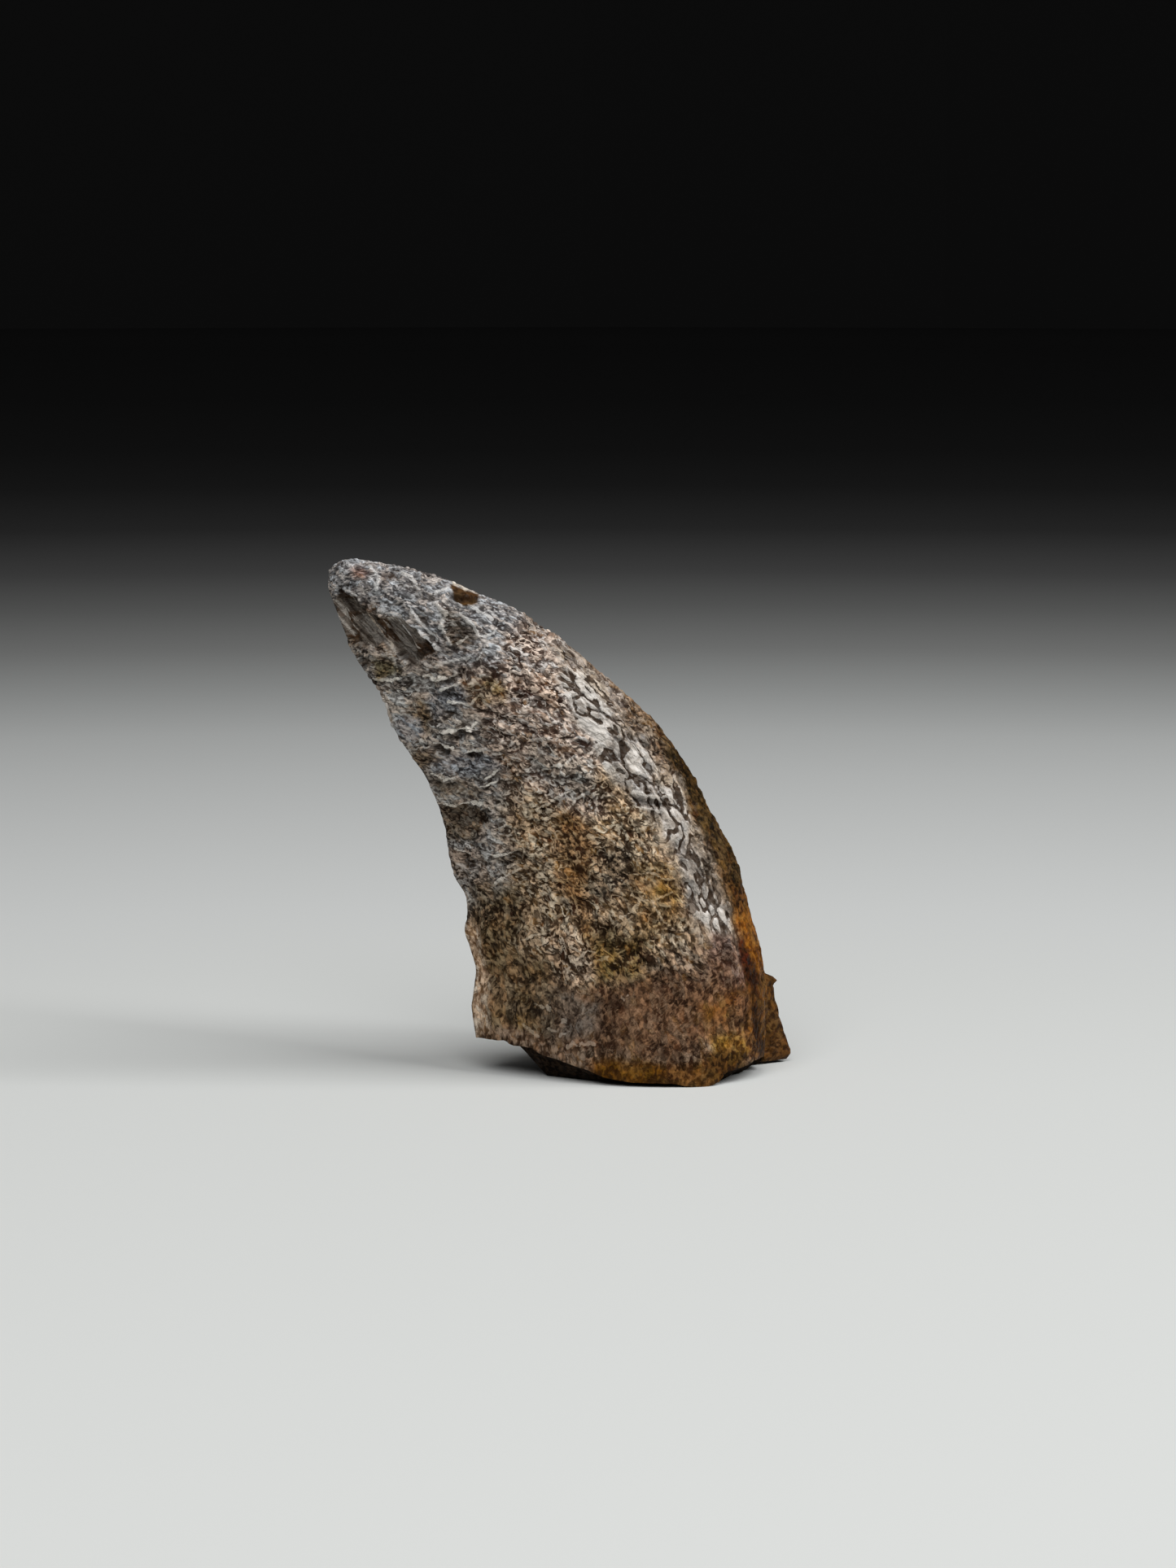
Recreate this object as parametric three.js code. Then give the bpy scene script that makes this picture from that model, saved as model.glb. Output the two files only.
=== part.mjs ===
// A fossil tooth of a meat-eating dinosaur: a flattened, curved blade with a worn tip, standing on its broken base.
// Millimetres. +X runs from the concave (distal) edge to the convex (mesial) edge, +Y from the outer face to the inner
// face, +Z up. The origin is under the middle of the tooth, on the surface it stands on.
// The blade is a grid. Ribs join the two edges from the broken base up to the tip, and columns run up the faces. The
// fracture closes the grid below, and the denticles are extra corners along the two edges.

import * as THREE from "three";

// Edges of the blade seen from the side, [x, z], from just under the break up to the tip.
const MESIAL_EDGE = [
  [10.5, -1.4], [10.65, 1.2], [10.8, 3.0], [10.8, 4.5], [10.5, 6.4], [10.0, 7.9], [9.6, 9.4], [9.15, 11.0],
  [8.3, 12.9], [7.35, 14.6], [6.3, 16.4], [5.1, 18.0], [3.85, 19.3], [2.4, 20.6], [0.85, 21.7], [-0.9, 22.95],
  [-2.3, 24.1], [-4.0, 24.8], [-5.85, 25.5], [-7.85, 26.1], [-9.7, 26.35], [-10.9, 26.4], [-11.6, 25.9],
];
const DISTAL_EDGE = [
  [-4.1, -1.4], [-4.2, 0.4], [-4.2, 1.8], [-4.4, 3.3], [-4.25, 4.6], [-4.2, 5.4], [-4.5, 6.5], [-4.75, 7.4],
  [-4.6, 8.4], [-4.7, 9.2], [-5.2, 10.1], [-5.5, 11.1], [-5.65, 12.2], [-6.0, 13.6], [-6.7, 15.3], [-7.65, 16.7],
  [-8.35, 17.9], [-8.7, 19.0], [-9.2, 20.0], [-9.9, 20.9], [-10.45, 21.8], [-10.8, 22.7], [-11.3, 24.0],
  [-11.65, 25.0], [-11.6, 25.9],
];
// Which share of the distal edge each rib meets, by its share of the mesial edge: ribs stay square to the blade.
const RIB_PAIRS = [[0, 0], [0.13, 0.2], [0.29, 0.4], [0.52, 0.6], [0.72, 0.78], [0.87, 0.9], [0.94, 0.96], [1, 1]];

// Half the blade's thickness, and half the width of its worn distal edge, by the rib's share of the mesial edge.
const HALF_THICKNESS = [
  [0, 4.15], [0.2, 4.0], [0.4, 3.6], [0.6, 2.9], [0.76, 2.2], [0.88, 1.55], [0.95, 1.05], [0.985, 0.6], [1, 0],
];
const DISTAL_HALF_WIDTH = [[0, 0.5], [0.15, 0.45], [0.35, 0.2], [0.6, 0.1], [0.95, 0.1], [1, 0]];
// The section is a flat teardrop, sharp towards the distal edge and round towards the mesial one.
const OUTER_SECTION = { sharpness: 1.05, roundness: 0.5 };
const INNER_SECTION = { sharpness: 0.95, roundness: 0.55 };
const TIP_LEAN = 0.6;

// Height of the break around the base, [x, z], on the outer and the inner face.
const OUTER_BREAK = [
  [-4.3, 1.75], [-2.7, 1.85], [-2.3, 1.63], [-1.8, 1.67], [-1.3, 1.58], [-0.8, 1.32], [0.6, 1.0], [2.0, 0.58],
  [2.6, 0.39], [3.9, 0.22], [5.9, 0.2], [6.5, 0.08], [7.1, 0], [7.8, 0], [8.3, 0.2], [8.65, 0.62], [9.6, 0.8],
  [10.1, 0.97], [10.8, 0.9],
];
const INNER_BREAK = [
  [-4.3, 1.75], [-2.5, 1.7], [-1, 1.3], [0.3, 0.8], [1.2, 0.3], [2.2, 0], [4.2, 0], [5.5, 0.35], [7.5, 0.5], [9, 0.2],
  [10, 0.15], [10.5, 0.35], [10.8, 0.9],
];
// The underside bulges down to the surface it stands on, between two x; left of them it climbs to the break.
const FOOT = { left: 0.3, climb: 0.7, flatTo: 3, roughness: 0.4, grain: 1.5, bevel: 0.26 };

// A broken flange of the root stands out at the mesial foot, nearer the inner face: [z, reach past the edge].
const FLANGE_REACH = [
  [0, 1.15], [0.15, 1.35], [0.4, 1.55], [0.7, 1.55], [1.25, 1.35], [1.9, 1.08], [2.5, 0.84], [3.3, 0.5], [3.9, 0.4],
  [4.3, 0.72], [4.75, 0.1], [5.2, 0],
];
const FLANGE = { y: 2.5, halfWidth: 1.7, from: 0.72 };

// Relief of the faces: broad swells, pits, and cross wrinkles that are strongest near the distal edge.
const SWELL = { depth: 0.1, size: 2.6 };
const PITTING = { depth: 0.2, size: 0.95 };
const WRINKLES = { height: 0.09, spacing: 1.05, slope: 0.22, waver: 0.5 };
const TIP_FADE = 0.05;

// Flake scars in the outer face, as outlines [x, z], sunk by a depth within a ledge of a given width.
const SCARS = [
  {
    depth: 0.42,
    ledge: 0.3,
    outline: [
      [-11.9, 25.0], [-11.27, 25.1], [-10.44, 24.77], [-9.98, 24.3], [-9.69, 23.92], [-9.3, 23.6], [-9.75, 22.3],
      [-10.35, 22.5], [-11.2, 22.6],
    ],
  },
  {
    depth: 0.5,
    ledge: 0.3,
    outline: [
      [-9.3, 23.6], [-8.52, 23.84], [-7.77, 23.25], [-6.94, 22.24], [-6.4, 21.6], [-7.44, 21.27], [-8.27, 21.82],
      [-8.9, 22.1], [-9.4, 22.25],
    ],
  },
  { depth: 0.3, ledge: 0.22, outline: [[-5.75, 25.6], [-4.2, 25.1], [-4.2, 24.55], [-5.0, 24.45], [-5.75, 24.85]] },
  { depth: 0.24, ledge: 0.45, outline: [[-6.0, 17.9], [-4.4, 18.2], [-4.2, 17.5], [-5.0, 17.1], [-5.9, 17.3]] },
  { depth: 0.2, ledge: 0.45, outline: [[-5.5, 14.1], [-3.9, 14.4], [-3.7, 12.9], [-4.9, 12.6], [-5.4, 13.2]] },
];
// Thin crests of thickened enamel on the outer face, as ends [x, z] of each.
const CREST = { height: 0.16, halfWidth: 0.34 };
const CRESTS = [
  [[-7.0, 20.9], [-5.0, 20.75]], [[-6.1, 20.25], [-5.2, 20.4]], [[-5.9, 18.0], [-4.4, 18.3]],
  [[-6.45, 17.3], [-5.4, 17.45]], [[-4.9, 17.1], [-3.9, 17.2]], [[-6.0, 14.3], [-3.6, 14.7]],
  [[-2.0, 14.0], [0.5, 15.8]], [[3.8, 10.2], [6.2, 8.4]], [[-4.0, 21.6], [-1.9, 18.7]],
];

// Denticles along the upper edges: each run is a span of the edge's length, in shares from its foot.
const DENTICLE = { pitch: 0.35, stands: 0.13, rise: 0.3, fall: 0.72 };
const MESIAL_DENTICLES = [[0.7, 0.945]];
const DISTAL_DENTICLES = [[0.7, 0.815], [0.885, 0.965]];

const AROUND = 64;
const ALONG = 64;
const CROWDING = 0.87;
const UNDERSIDE_RINGS = 8;

const { lerp, smoothstep } = THREE.MathUtils;

// Value at `at` on the broken line through [place, value] pairs.
function along(pairs, at) {
  const next = pairs.findIndex(([place]) => place >= at);
  if (next < 0) return pairs[pairs.length - 1][1];
  if (next === 0) return pairs[0][1];
  const [[a, from], [b, to]] = [pairs[next - 1], pairs[next]];
  return from + ((to - from) * (at - a)) / (b - a);
}

// Smooth noise from -1 to 1, with one feature for each unit of length.
function lattice(x, y, z) {
  const wave = Math.sin(x * 127.1 + y * 311.7 + z * 74.7) * 43758.5453;
  return 2 * (wave - Math.floor(wave)) - 1;
}
function noise(x, y, z) {
  const cell = [x, y, z].map(Math.floor);
  const [fx, fy, fz] = [x, y, z].map((v, i) => smoothstep(v - cell[i], 0, 1));
  let sum = 0;
  for (let corner = 0; corner < 8; corner++) {
    const [i, j, k] = [corner & 1, (corner >> 1) & 1, corner >> 2];
    const weight = (i ? fx : 1 - fx) * (j ? fy : 1 - fy) * (k ? fz : 1 - fz);
    sum += weight * lattice(cell[0] + i, cell[1] + j, cell[2] + k);
  }
  return sum;
}

// Distance from (x, z) to the segment between two [x, z] ends.
function toSegment(x, z, [ax, az], [bx, bz]) {
  const length2 = (bx - ax) ** 2 + (bz - az) ** 2;
  const share = THREE.MathUtils.clamp(((x - ax) * (bx - ax) + (z - az) * (bz - az)) / length2, 0, 1);
  return Math.hypot(x - lerp(ax, bx, share), z - lerp(az, bz, share));
}

// Distance from (x, z) to an outline, more than 0 inside it.
function insideBy(x, z, outline) {
  let [nearest, inside] = [Infinity, false];
  outline.forEach((from, i) => {
    const to = outline[(i + 1) % outline.length];
    nearest = Math.min(nearest, toSegment(x, z, from, to));
    const crosses = from[1] > z !== to[1] > z && x < from[0] + ((to[0] - from[0]) * (z - from[1])) / (to[1] - from[1]);
    if (crosses) inside = !inside;
  });
  return inside ? nearest : -nearest;
}

const edgeCurve = (points) => new THREE.SplineCurve(points.map(([x, z]) => new THREE.Vector2(x, z)));
const mesialEdge = edgeCurve(MESIAL_EDGE);
const distalEdge = edgeCurve(DISTAL_EDGE);

// Flat teardrop: 0 at both edges and 1 where the blade is thickest.
function teardrop(across, { sharpness, roundness }) {
  const shape = (at) => at ** sharpness * (1 - at) ** roundness;
  return shape(across) / shape(sharpness / (sharpness + roundness));
}

// A column of the grid: its share across from the distal edge, and its face (-1 outer, 1 inner).
function column(index) {
  const turn = (2 * index) / AROUND;
  const share = turn <= 1 ? turn : 2 - turn;
  return { share, across: Math.sin((Math.PI / 2) * share), face: turn <= 1 ? -1 : 1 };
}

// A point of the smooth blade, at a share of the way up a column.
function bladePoint(up, { share, across, face }) {
  const mesial = mesialEdge.getPointAt(up);
  const distal = distalEdge.getPointAt(along(RIB_PAIRS, up));
  const section = face < 0 ? OUTER_SECTION : INNER_SECTION;
  const half = along(HALF_THICKNESS, up) * teardrop(across, section);
  const edge = along(DISTAL_HALF_WIDTH, up) * smoothstep(share, 0, 0.05) * (1 - across);
  return new THREE.Vector3(
    lerp(distal.x, mesial.x, across),
    face * (half + edge) + TIP_LEAN * up ** 3,
    lerp(distal.y, mesial.y, across),
  );
}

// The share of the way up at which the break crosses a column.
function breakShare(spot) {
  const line = spot.face < 0 ? OUTER_BREAK : INNER_BREAK;
  let [low, high] = [0, 0.3];
  for (let step = 0; step < 30; step++) {
    const middle = (low + high) / 2;
    const point = bladePoint(middle, spot);
    if (point.z < along(line, point.x)) low = middle;
    else high = middle;
  }
  return low;
}

function withFlange(point, up, { across }) {
  if (across < FLANGE.from || point.z > 5.2) return point;
  const nearness = Math.max(0, 1 - Math.abs(point.y - FLANGE.y) / FLANGE.halfWidth);
  const tip = mesialEdge.getPointAt(up).x + along(FLANGE_REACH, point.z);
  const reach = smoothstep(nearness, 0, 1) * smoothstep(across, FLANGE.from, 0.86) * smoothstep(5.2 - point.z, 0, 0.6);
  point.x = lerp(point.x, tip, reach);
  return point;
}

// How far the outer face stands out where it's scarred or crested.
function marks({ x, z }) {
  const sunk = SCARS.map(({ depth, ledge, outline }) => depth * smoothstep(insideBy(x, z, outline), -0.05, ledge));
  const raised = CRESTS.map(([from, to]) => CREST.height * (1 - smoothstep(toSegment(x, z, from, to), 0, CREST.halfWidth)));
  return Math.max(...raised) - Math.max(...sunk);
}

// How far a face stands out from the smooth blade.
function relief(point, up, { across, face }) {
  const { x, y, z } = point;
  const swell = SWELL.depth * noise(x / SWELL.size, y / SWELL.size, z / SWELL.size);
  const pits = PITTING.depth * Math.min(0, noise(x / PITTING.size, y / PITTING.size, z / PITTING.size));
  const phase = z / WRINKLES.spacing - WRINKLES.slope * x + WRINKLES.waver * noise(x / 1.6, y / 1.6, z / 1.6);
  const reach = smoothstep(0.62 - across, 0, 0.35) * smoothstep(up, 0.15, 0.3);
  const wrinkle = WRINKLES.height * Math.sin(2 * Math.PI * phase) * reach;
  const common = (swell + pits + wrinkle) * smoothstep(across, 0, 0.12) * smoothstep(1 - up, 0, TIP_FADE);
  return face < 0 ? common + marks(point) * smoothstep(1 - up, 0, 0.02) : common;
}

// Where the fracture lies under a point of the base: never below the surface the tooth stands on.
function underside(x, y) {
  const climb = Math.max(0, FOOT.left - x) * FOOT.climb;
  const hollow = FOOT.roughness * Math.max(0, noise(x / FOOT.grain, y / FOOT.grain, 7));
  return climb + hollow * smoothstep(x, FOOT.flatTo, FOOT.flatTo + 1.5);
}

// How far an edge stands out for its denticles at a length from its foot.
function denticleHeight(length, spans) {
  const span = spans.find(([from, to]) => length >= from && length <= to);
  if (!span) return 0;
  const phase = ((length - span[0]) / DENTICLE.pitch) % 1;
  return DENTICLE.stands * Math.min(1, phase / DENTICLE.rise, (1 - phase) / (1 - DENTICLE.fall));
}

// The lengths from the foot of an edge at which its denticles turn a corner.
function denticleCorners(spans) {
  return spans.flatMap(([from, to]) => {
    const count = Math.floor((to - from) / DENTICLE.pitch);
    const starts = Array.from({ length: count }, (_, i) => from + i * DENTICLE.pitch);
    return starts.flatMap((s) => [s, s + DENTICLE.rise * DENTICLE.pitch, s + DENTICLE.fall * DENTICLE.pitch]);
  });
}

// The columns that run along the edges, with the share and the denticles of each.
const toLengths = (curve, shares) => shares.map((span) => span.map((share) => share * curve.getLength()));
const EDGES = {
  0: { curve: distalEdge, outward: -1, shareAt: (up) => along(RIB_PAIRS, up), spans: toLengths(distalEdge, DISTAL_DENTICLES) },
  [AROUND / 2]: { curve: mesialEdge, outward: 1, shareAt: (up) => up, spans: toLengths(mesialEdge, MESIAL_DENTICLES) },
};

function standOut(position, edge, length) {
  const tangent = edge.curve.getTangentAt(THREE.MathUtils.clamp(length / edge.curve.getLength(), 0, 1));
  const height = edge.outward * denticleHeight(length, edge.spans);
  return position.add(new THREE.Vector3(tangent.y * height, 0, -tangent.x * height));
}

function buildTooth() {
  const columns = Array.from({ length: AROUND }, (_, c) => column(c));
  const starts = columns.map(breakShare);
  const smooth = Array.from({ length: ALONG }, (_, ring) =>
    columns.map((spot, c) => {
      const up = starts[c] + (1 - starts[c]) * (ring / ALONG) ** CROWDING;
      return { point: withFlange(bladePoint(up, spot), up, spot), up, spot };
    }),
  );

  const positions = [];
  smooth.forEach((row, ring) => {
    row.forEach(({ point, up, spot }, c) => {
      const above = smooth[Math.min(ring + 1, ALONG - 1)][c].point;
      const below = smooth[Math.max(ring - 1, 0)][c].point;
      const before = row[(c + AROUND - 1) % AROUND].point;
      const after = row[(c + 1) % AROUND].point;
      const normal = after.clone().sub(before).cross(above.clone().sub(below)).normalize();
      const placed = point.clone().addScaledVector(normal, relief(point, up, spot) * (ring === 0 ? 0.4 : 1));
      placed.z = Math.max(placed.z, 0);
      positions.push(placed);
    });
  });

  const triangles = [];
  const at = (ring, c) => ring * AROUND + (c % AROUND);

  // The chain of corners that runs up an edge from one ring to the next, denticle corners among them.
  const chains = {};
  for (const [c, edge] of Object.entries(EDGES)) {
    const corners = denticleCorners(edge.spans);
    const lengthAt = (ring) => edge.shareAt(smooth[ring][c].up) * edge.curve.getLength();
    const plain = positions.map((p) => p);
    chains[c] = smooth.slice(0, -1).map((_, ring) => {
      const [from, to] = [lengthAt(ring), lengthAt(ring + 1)];
      const margin = 0.12 * (to - from);
      const between = corners.filter((s) => s > from + margin && s < to - margin);
      const added = between.map((s) => {
        const share = (s - from) / (to - from);
        const corner = plain[at(ring, +c)].clone().lerp(plain[at(ring + 1, +c)], share);
        return positions.push(standOut(corner, edge, s)) - 1;
      });
      return [at(ring, +c), ...added, at(ring + 1, +c)];
    });
    smooth.forEach((_, ring) => {
      const index = at(ring, +c);
      positions[index] = standOut(positions[index].clone(), edge, lengthAt(ring));
    });
  }

  for (let ring = 0; ring + 1 < ALONG; ring++)
    for (let c = 0; c < AROUND; c++) {
      const left = chains[c]?.[ring] ?? [at(ring, c), at(ring + 1, c)];
      const right = chains[(c + 1) % AROUND]?.[ring] ?? [at(ring, c + 1), at(ring + 1, c + 1)];
      // Two chains facing each other: step up whichever is behind until both reach the next ring.
      let [i, j] = [0, 0];
      while (i < left.length - 1 || j < right.length - 1) {
        const rightTurn = (j + 1) / right.length <= (i + 1) / left.length && j < right.length - 1;
        if (rightTurn || i === left.length - 1) triangles.push(left[i], right[j], right[++j]);
        else triangles.push(left[i], right[j], left[++i]);
      }
    }
  const tip = positions.push(bladePoint(1, columns[0])) - 1;
  for (let c = 0; c < AROUND; c++) triangles.push(at(ALONG - 1, c), at(ALONG - 1, c + 1), tip);

  // The fracture: rings shrink from the break towards the middle of the base.
  const rim = positions.slice(0, AROUND);
  const middle = rim.reduce((sum, p) => sum.add(p), new THREE.Vector3()).divideScalar(AROUND);
  const ringStarts = [0];
  for (let ring = 1; ring < UNDERSIDE_RINGS; ring++) {
    const inward = ring / UNDERSIDE_RINGS;
    ringStarts.push(positions.length);
    for (const p of rim) {
      const [x, y] = [lerp(p.x, middle.x, inward), lerp(p.y, middle.y, inward)];
      positions.push(new THREE.Vector3(x, y, lerp(p.z, underside(x, y), smoothstep(inward, 0, FOOT.bevel))));
    }
    const [outer, inner] = ringStarts.slice(-2);
    for (let c = 0; c < AROUND; c++) {
      const next = (c + 1) % AROUND;
      triangles.push(inner + c, inner + next, outer + next, inner + c, outer + next, outer + c);
    }
  }
  const heart = positions.push(new THREE.Vector3(middle.x, middle.y, underside(middle.x, middle.y))) - 1;
  const last = ringStarts[ringStarts.length - 1];
  for (let c = 0; c < AROUND; c++) triangles.push(last + ((c + 1) % AROUND), last + c, heart);

  const geometry = new THREE.BufferGeometry().setFromPoints(positions).setIndex(triangles);
  geometry.computeBoundingBox();
  const { min, max } = geometry.boundingBox;
  geometry.translate(-(min.x + max.x) / 2, -(min.y + max.y) / 2, -min.z);
  geometry.computeVertexNormals();
  return geometry;
}

const fossil = new THREE.MeshStandardMaterial({ color: 0x6b5f54, roughness: 0.45, metalness: 0 });
const tooth = new THREE.Mesh(buildTooth(), fossil);
tooth.name = "tooth";

const group = new THREE.Group();
group.add(tooth);

export default group;
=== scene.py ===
"""A fossil tooth of a meat-eating dinosaur, standing on its broken base on a pale floor.

The blade is a fine grid between its two edges, with its flake scars and enamel folds. A Geometry Nodes
tree roughens it and seats the denticles along its edges. Sizes are in millimetres, in the frame of the
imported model: +X from the concave distal edge to the convex mesial edge, +Y from the outer to the inner
face, +Z up.
"""

import logging
import math
from dataclasses import dataclass, field
from enum import Enum

import bpy
import numpy as np
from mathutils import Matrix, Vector


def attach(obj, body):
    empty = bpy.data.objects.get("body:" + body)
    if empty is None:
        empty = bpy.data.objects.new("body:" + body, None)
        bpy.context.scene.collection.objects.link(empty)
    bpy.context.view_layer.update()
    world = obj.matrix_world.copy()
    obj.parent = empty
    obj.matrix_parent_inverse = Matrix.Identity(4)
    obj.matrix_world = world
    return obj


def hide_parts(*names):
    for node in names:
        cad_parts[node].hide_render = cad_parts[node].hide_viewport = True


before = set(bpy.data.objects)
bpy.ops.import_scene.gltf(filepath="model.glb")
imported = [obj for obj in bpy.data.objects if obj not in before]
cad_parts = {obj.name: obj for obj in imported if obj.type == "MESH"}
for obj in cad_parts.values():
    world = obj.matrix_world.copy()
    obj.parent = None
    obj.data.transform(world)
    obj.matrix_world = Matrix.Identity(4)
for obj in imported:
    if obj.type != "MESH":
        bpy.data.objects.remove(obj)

LOG = logging.getLogger("tooth")
MM = 0.001
TINY = 1e-9
Point = tuple[float, float]
Triple = tuple[float, float, float]
Colour = Triple
Array = np.ndarray


def smooth(value: Array, low: float, high: float) -> Array:
    """Eases a value from 0 at `low` to 1 at `high`."""
    share = np.clip((value - low) / (high - low), 0.0, 1.0)
    return share * share * (3.0 - 2.0 * share)


def along(pairs: tuple[Point, ...], at: Array) -> Array:
    """Reads the broken line through (place, value) pairs at each place."""
    places, values = zip(*pairs)
    return np.interp(at, places, values)


def linear(colour: Colour) -> Array:
    """Turns a display colour from 0 to 255 into linear light from 0 to 1, by the sRGB curve."""
    share = np.array(colour, dtype=float) / 255.0
    return np.where(share <= 0.04045, share / 12.92, ((share + 0.055) / 1.055) ** 2.4)


def paint(colour: Colour) -> tuple[float, ...]:
    """Turns a display colour into the four numbers that a colour socket takes."""
    return (*linear(colour), 1.0)


class Lattice:
    """Smooth noise from -1 to 1 with one feature for each unit of length."""

    STRIDES = (127.1, 311.7, 74.7)
    SPREAD = 43758.5453

    @classmethod
    def corner(cls, x: Array, y: Array, z: Array) -> Array:
        """The fixed value at whole-numbered corners."""
        wave = np.sin(x * cls.STRIDES[0] + y * cls.STRIDES[1] + z * cls.STRIDES[2]) * cls.SPREAD
        return 2.0 * (wave - np.floor(wave)) - 1.0

    @classmethod
    def at(cls, x: Array, y: Array, z: Array) -> Array:
        """The noise at each place, eased between the eight corners round it."""
        cells = [np.floor(v) for v in (x, y, z)]
        shares = [smooth(v - c, 0.0, 1.0) for v, c in zip((x, y, z), cells)]
        total = np.zeros_like(x)
        for corner in range(8):
            steps = (corner & 1, corner >> 1 & 1, corner >> 2)
            weight = np.ones_like(x)
            for share, step in zip(shares, steps):
                weight = weight * (share if step else 1.0 - share)
            total += weight * cls.corner(*(c + s for c, s in zip(cells, steps)))
        return total


DRIFT_OCTAVES = ((0.6, 0.6), (0.3, 1.5), (0.15, 2.5))
DRIFT_STEP = 2.1
DRIFT_SEED_STEP = 17.3


def drift(x: Array, z: Array, size: float, seed: float) -> Array:
    """Noise in the plane of the faces, in three octaves, each turned so that its lattice doesn't show.

    Args:
        x: Places across.
        z: Places up.
        size: Size of the largest features.
        seed: Picks one of many patterns.

    Returns:
        A value from about -1 to 1 for each place.
    """
    total = np.zeros_like(x)
    for octave, (share, turn) in enumerate(DRIFT_OCTAVES):
        scale = DRIFT_STEP**octave / size
        across = (x * math.cos(turn) + z * math.sin(turn)) * scale
        up = (z * math.cos(turn) - x * math.sin(turn)) * scale
        total += share * Lattice.at(across, up, np.full_like(x, seed + DRIFT_SEED_STEP * octave))
    return total


@dataclass(frozen=True)
class Path:
    """A broken line of [x, z] points on a face, in millimetres."""

    points: tuple[Point, ...]
    closed: bool = False

    def segments(self) -> list[tuple[Point, Point]]:
        """The line's stretches, with the closing one where it is an outline."""
        ends = self.points[1:] + (self.points[:1] if self.closed else ())
        return list(zip(self.points, ends))

    def measure(self, x: Array, z: Array) -> tuple[Array, Array]:
        """Measures each place against the line.

        Args:
            x: Places across.
            z: Places up.

        Returns:
            The distance of each place in millimetres, and 1 where it is left of the line, else -1.
        """
        nearest, side = np.full_like(x, np.inf), np.ones_like(x)
        for (ax, az), (bx, bz) in self.segments():
            length2 = max((bx - ax) ** 2 + (bz - az) ** 2, TINY)
            share = np.clip(((x - ax) * (bx - ax) + (z - az) * (bz - az)) / length2, 0.0, 1.0)
            reach = np.hypot(x - ax - share * (bx - ax), z - az - share * (bz - az))
            left = (bx - ax) * (z - az) - (bz - az) * (x - ax)
            side = np.where(reach < nearest, np.where(left < 0.0, -1.0, 1.0), side)
            nearest = np.minimum(nearest, reach)
        return nearest, side

    def inside(self, x: Array, z: Array) -> Array:
        """Distance in millimetres from each place to the outline, above 0 inside it and below 0 outside."""
        held = np.zeros(x.shape, dtype=bool)
        for (ax, az), (bx, bz) in self.segments():
            spans = (az > z) != (bz > z)
            rise = bz - az if bz != az else TINY
            held ^= spans & (x < ax + (bx - ax) * (z - az) / rise)
        return np.where(held, 1.0, -1.0) * self.measure(x, z)[0]


@dataclass(frozen=True)
class EdgeLine:
    """One edge of the blade: a smooth curve through [x, z] points from the foot to the tip."""

    points: tuple[Point, ...]
    steps: int = 4000

    def table(self) -> tuple[Array, Array]:
        """Samples the curve.

        Returns:
            The length from the foot to each sample, and the samples.
        """
        known = np.array(self.points)
        place = np.linspace(0.0, len(known) - 1.0, self.steps)
        cell = np.minimum(place.astype(int), len(known) - 2)
        t = (place - cell)[:, None]
        before = known[np.maximum(cell - 1, 0)]
        start, end = known[cell], known[cell + 1]
        after = known[np.minimum(cell + 2, len(known) - 1)]
        leave, arrive = (end - before) / 2.0, (after - start) / 2.0
        cubic = 2.0 * start - 2.0 * end + leave + arrive
        square = -3.0 * start + 3.0 * end - 2.0 * leave - arrive
        samples = ((cubic * t + square) * t + leave) * t + start
        lengths = np.concatenate([[0.0], np.cumsum(np.linalg.norm(np.diff(samples, axis=0), axis=1))])
        return lengths, samples

    def at(self, share: Array) -> tuple[Array, Array]:
        """The x and the z of the point at each share of the curve's length."""
        lengths, samples = self.table()
        reach = share * lengths[-1]
        return np.interp(reach, lengths, samples[:, 0]), np.interp(reach, lengths, samples[:, 1])

    def length(self) -> float:
        """The curve's length."""
        return float(self.table()[0][-1])


@dataclass(frozen=True)
class Section:
    """A flat teardrop section: how sharp it is at the distal edge and how round at the mesial one."""

    sharpness: float
    roundness: float

    def at(self, across: Array) -> Array:
        """The section's share of its half thickness at each share across."""
        peak = self.sharpness / (self.sharpness + self.roundness)
        top = peak**self.sharpness * (1.0 - peak) ** self.roundness
        return across**self.sharpness * (1.0 - across) ** self.roundness / top


class Face(Enum):
    """A face of the blade, by the sign of Y that it faces."""

    OUTER = -1
    INNER = 1


@dataclass(frozen=True)
class Hollow:
    """Enamel lost from a face: an outline sunk by a depth within a ledge.

    A flake shows the streaked dentine, and any other hollow is painted with shade, as dark as it says.
    """

    outline: tuple[Point, ...]
    depth: float
    ledge: float
    flake: bool = False
    # how dark the hollow's painted shade is
    dark: float = 0.8
    face: Face = Face.OUTER


@dataclass(frozen=True)
class Fold:
    """A worn fold of enamel that overhangs the dip on its right, which is painted with shade. Its crest is
    pale, partly from wear and partly as a painted highlight.
    """

    points: tuple[Point, ...]
    half_width: float = 0.075
    height: float = 0.08
    dip: float = 0.1
    face: Face = Face.OUTER


@dataclass(frozen=True)
class Zone:
    """A region of the surface: its colour, the colours of its grooves and crests, and its relief.

    `soft` is how far it fades at its outline, in millimetres, and `patchy` how much of it breaks up. The
    others are strengths from 0 to about 1.
    """

    name: str
    outline: tuple[Point, ...]
    tone: Colour
    deep: Colour
    pale: Colour
    soft: float = 0.6
    patchy: float = 0.3
    rough: float = 1.0
    plates: float = 0.0
    ripple: float = 0.0
    stria: float = 0.0
    fleck: float = 0.5
    ochre: float = 0.3
    vein: float = 0.0
    grit: float = 0.3
    faces: tuple[Face, ...] = (Face.OUTER, Face.INNER)


OUTER_ONLY = (Face.OUTER,)

BODY = Zone("body", (), (92, 74, 56), (36, 25, 17), (190, 166, 142), fleck=0.6, ochre=0.6)

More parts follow.
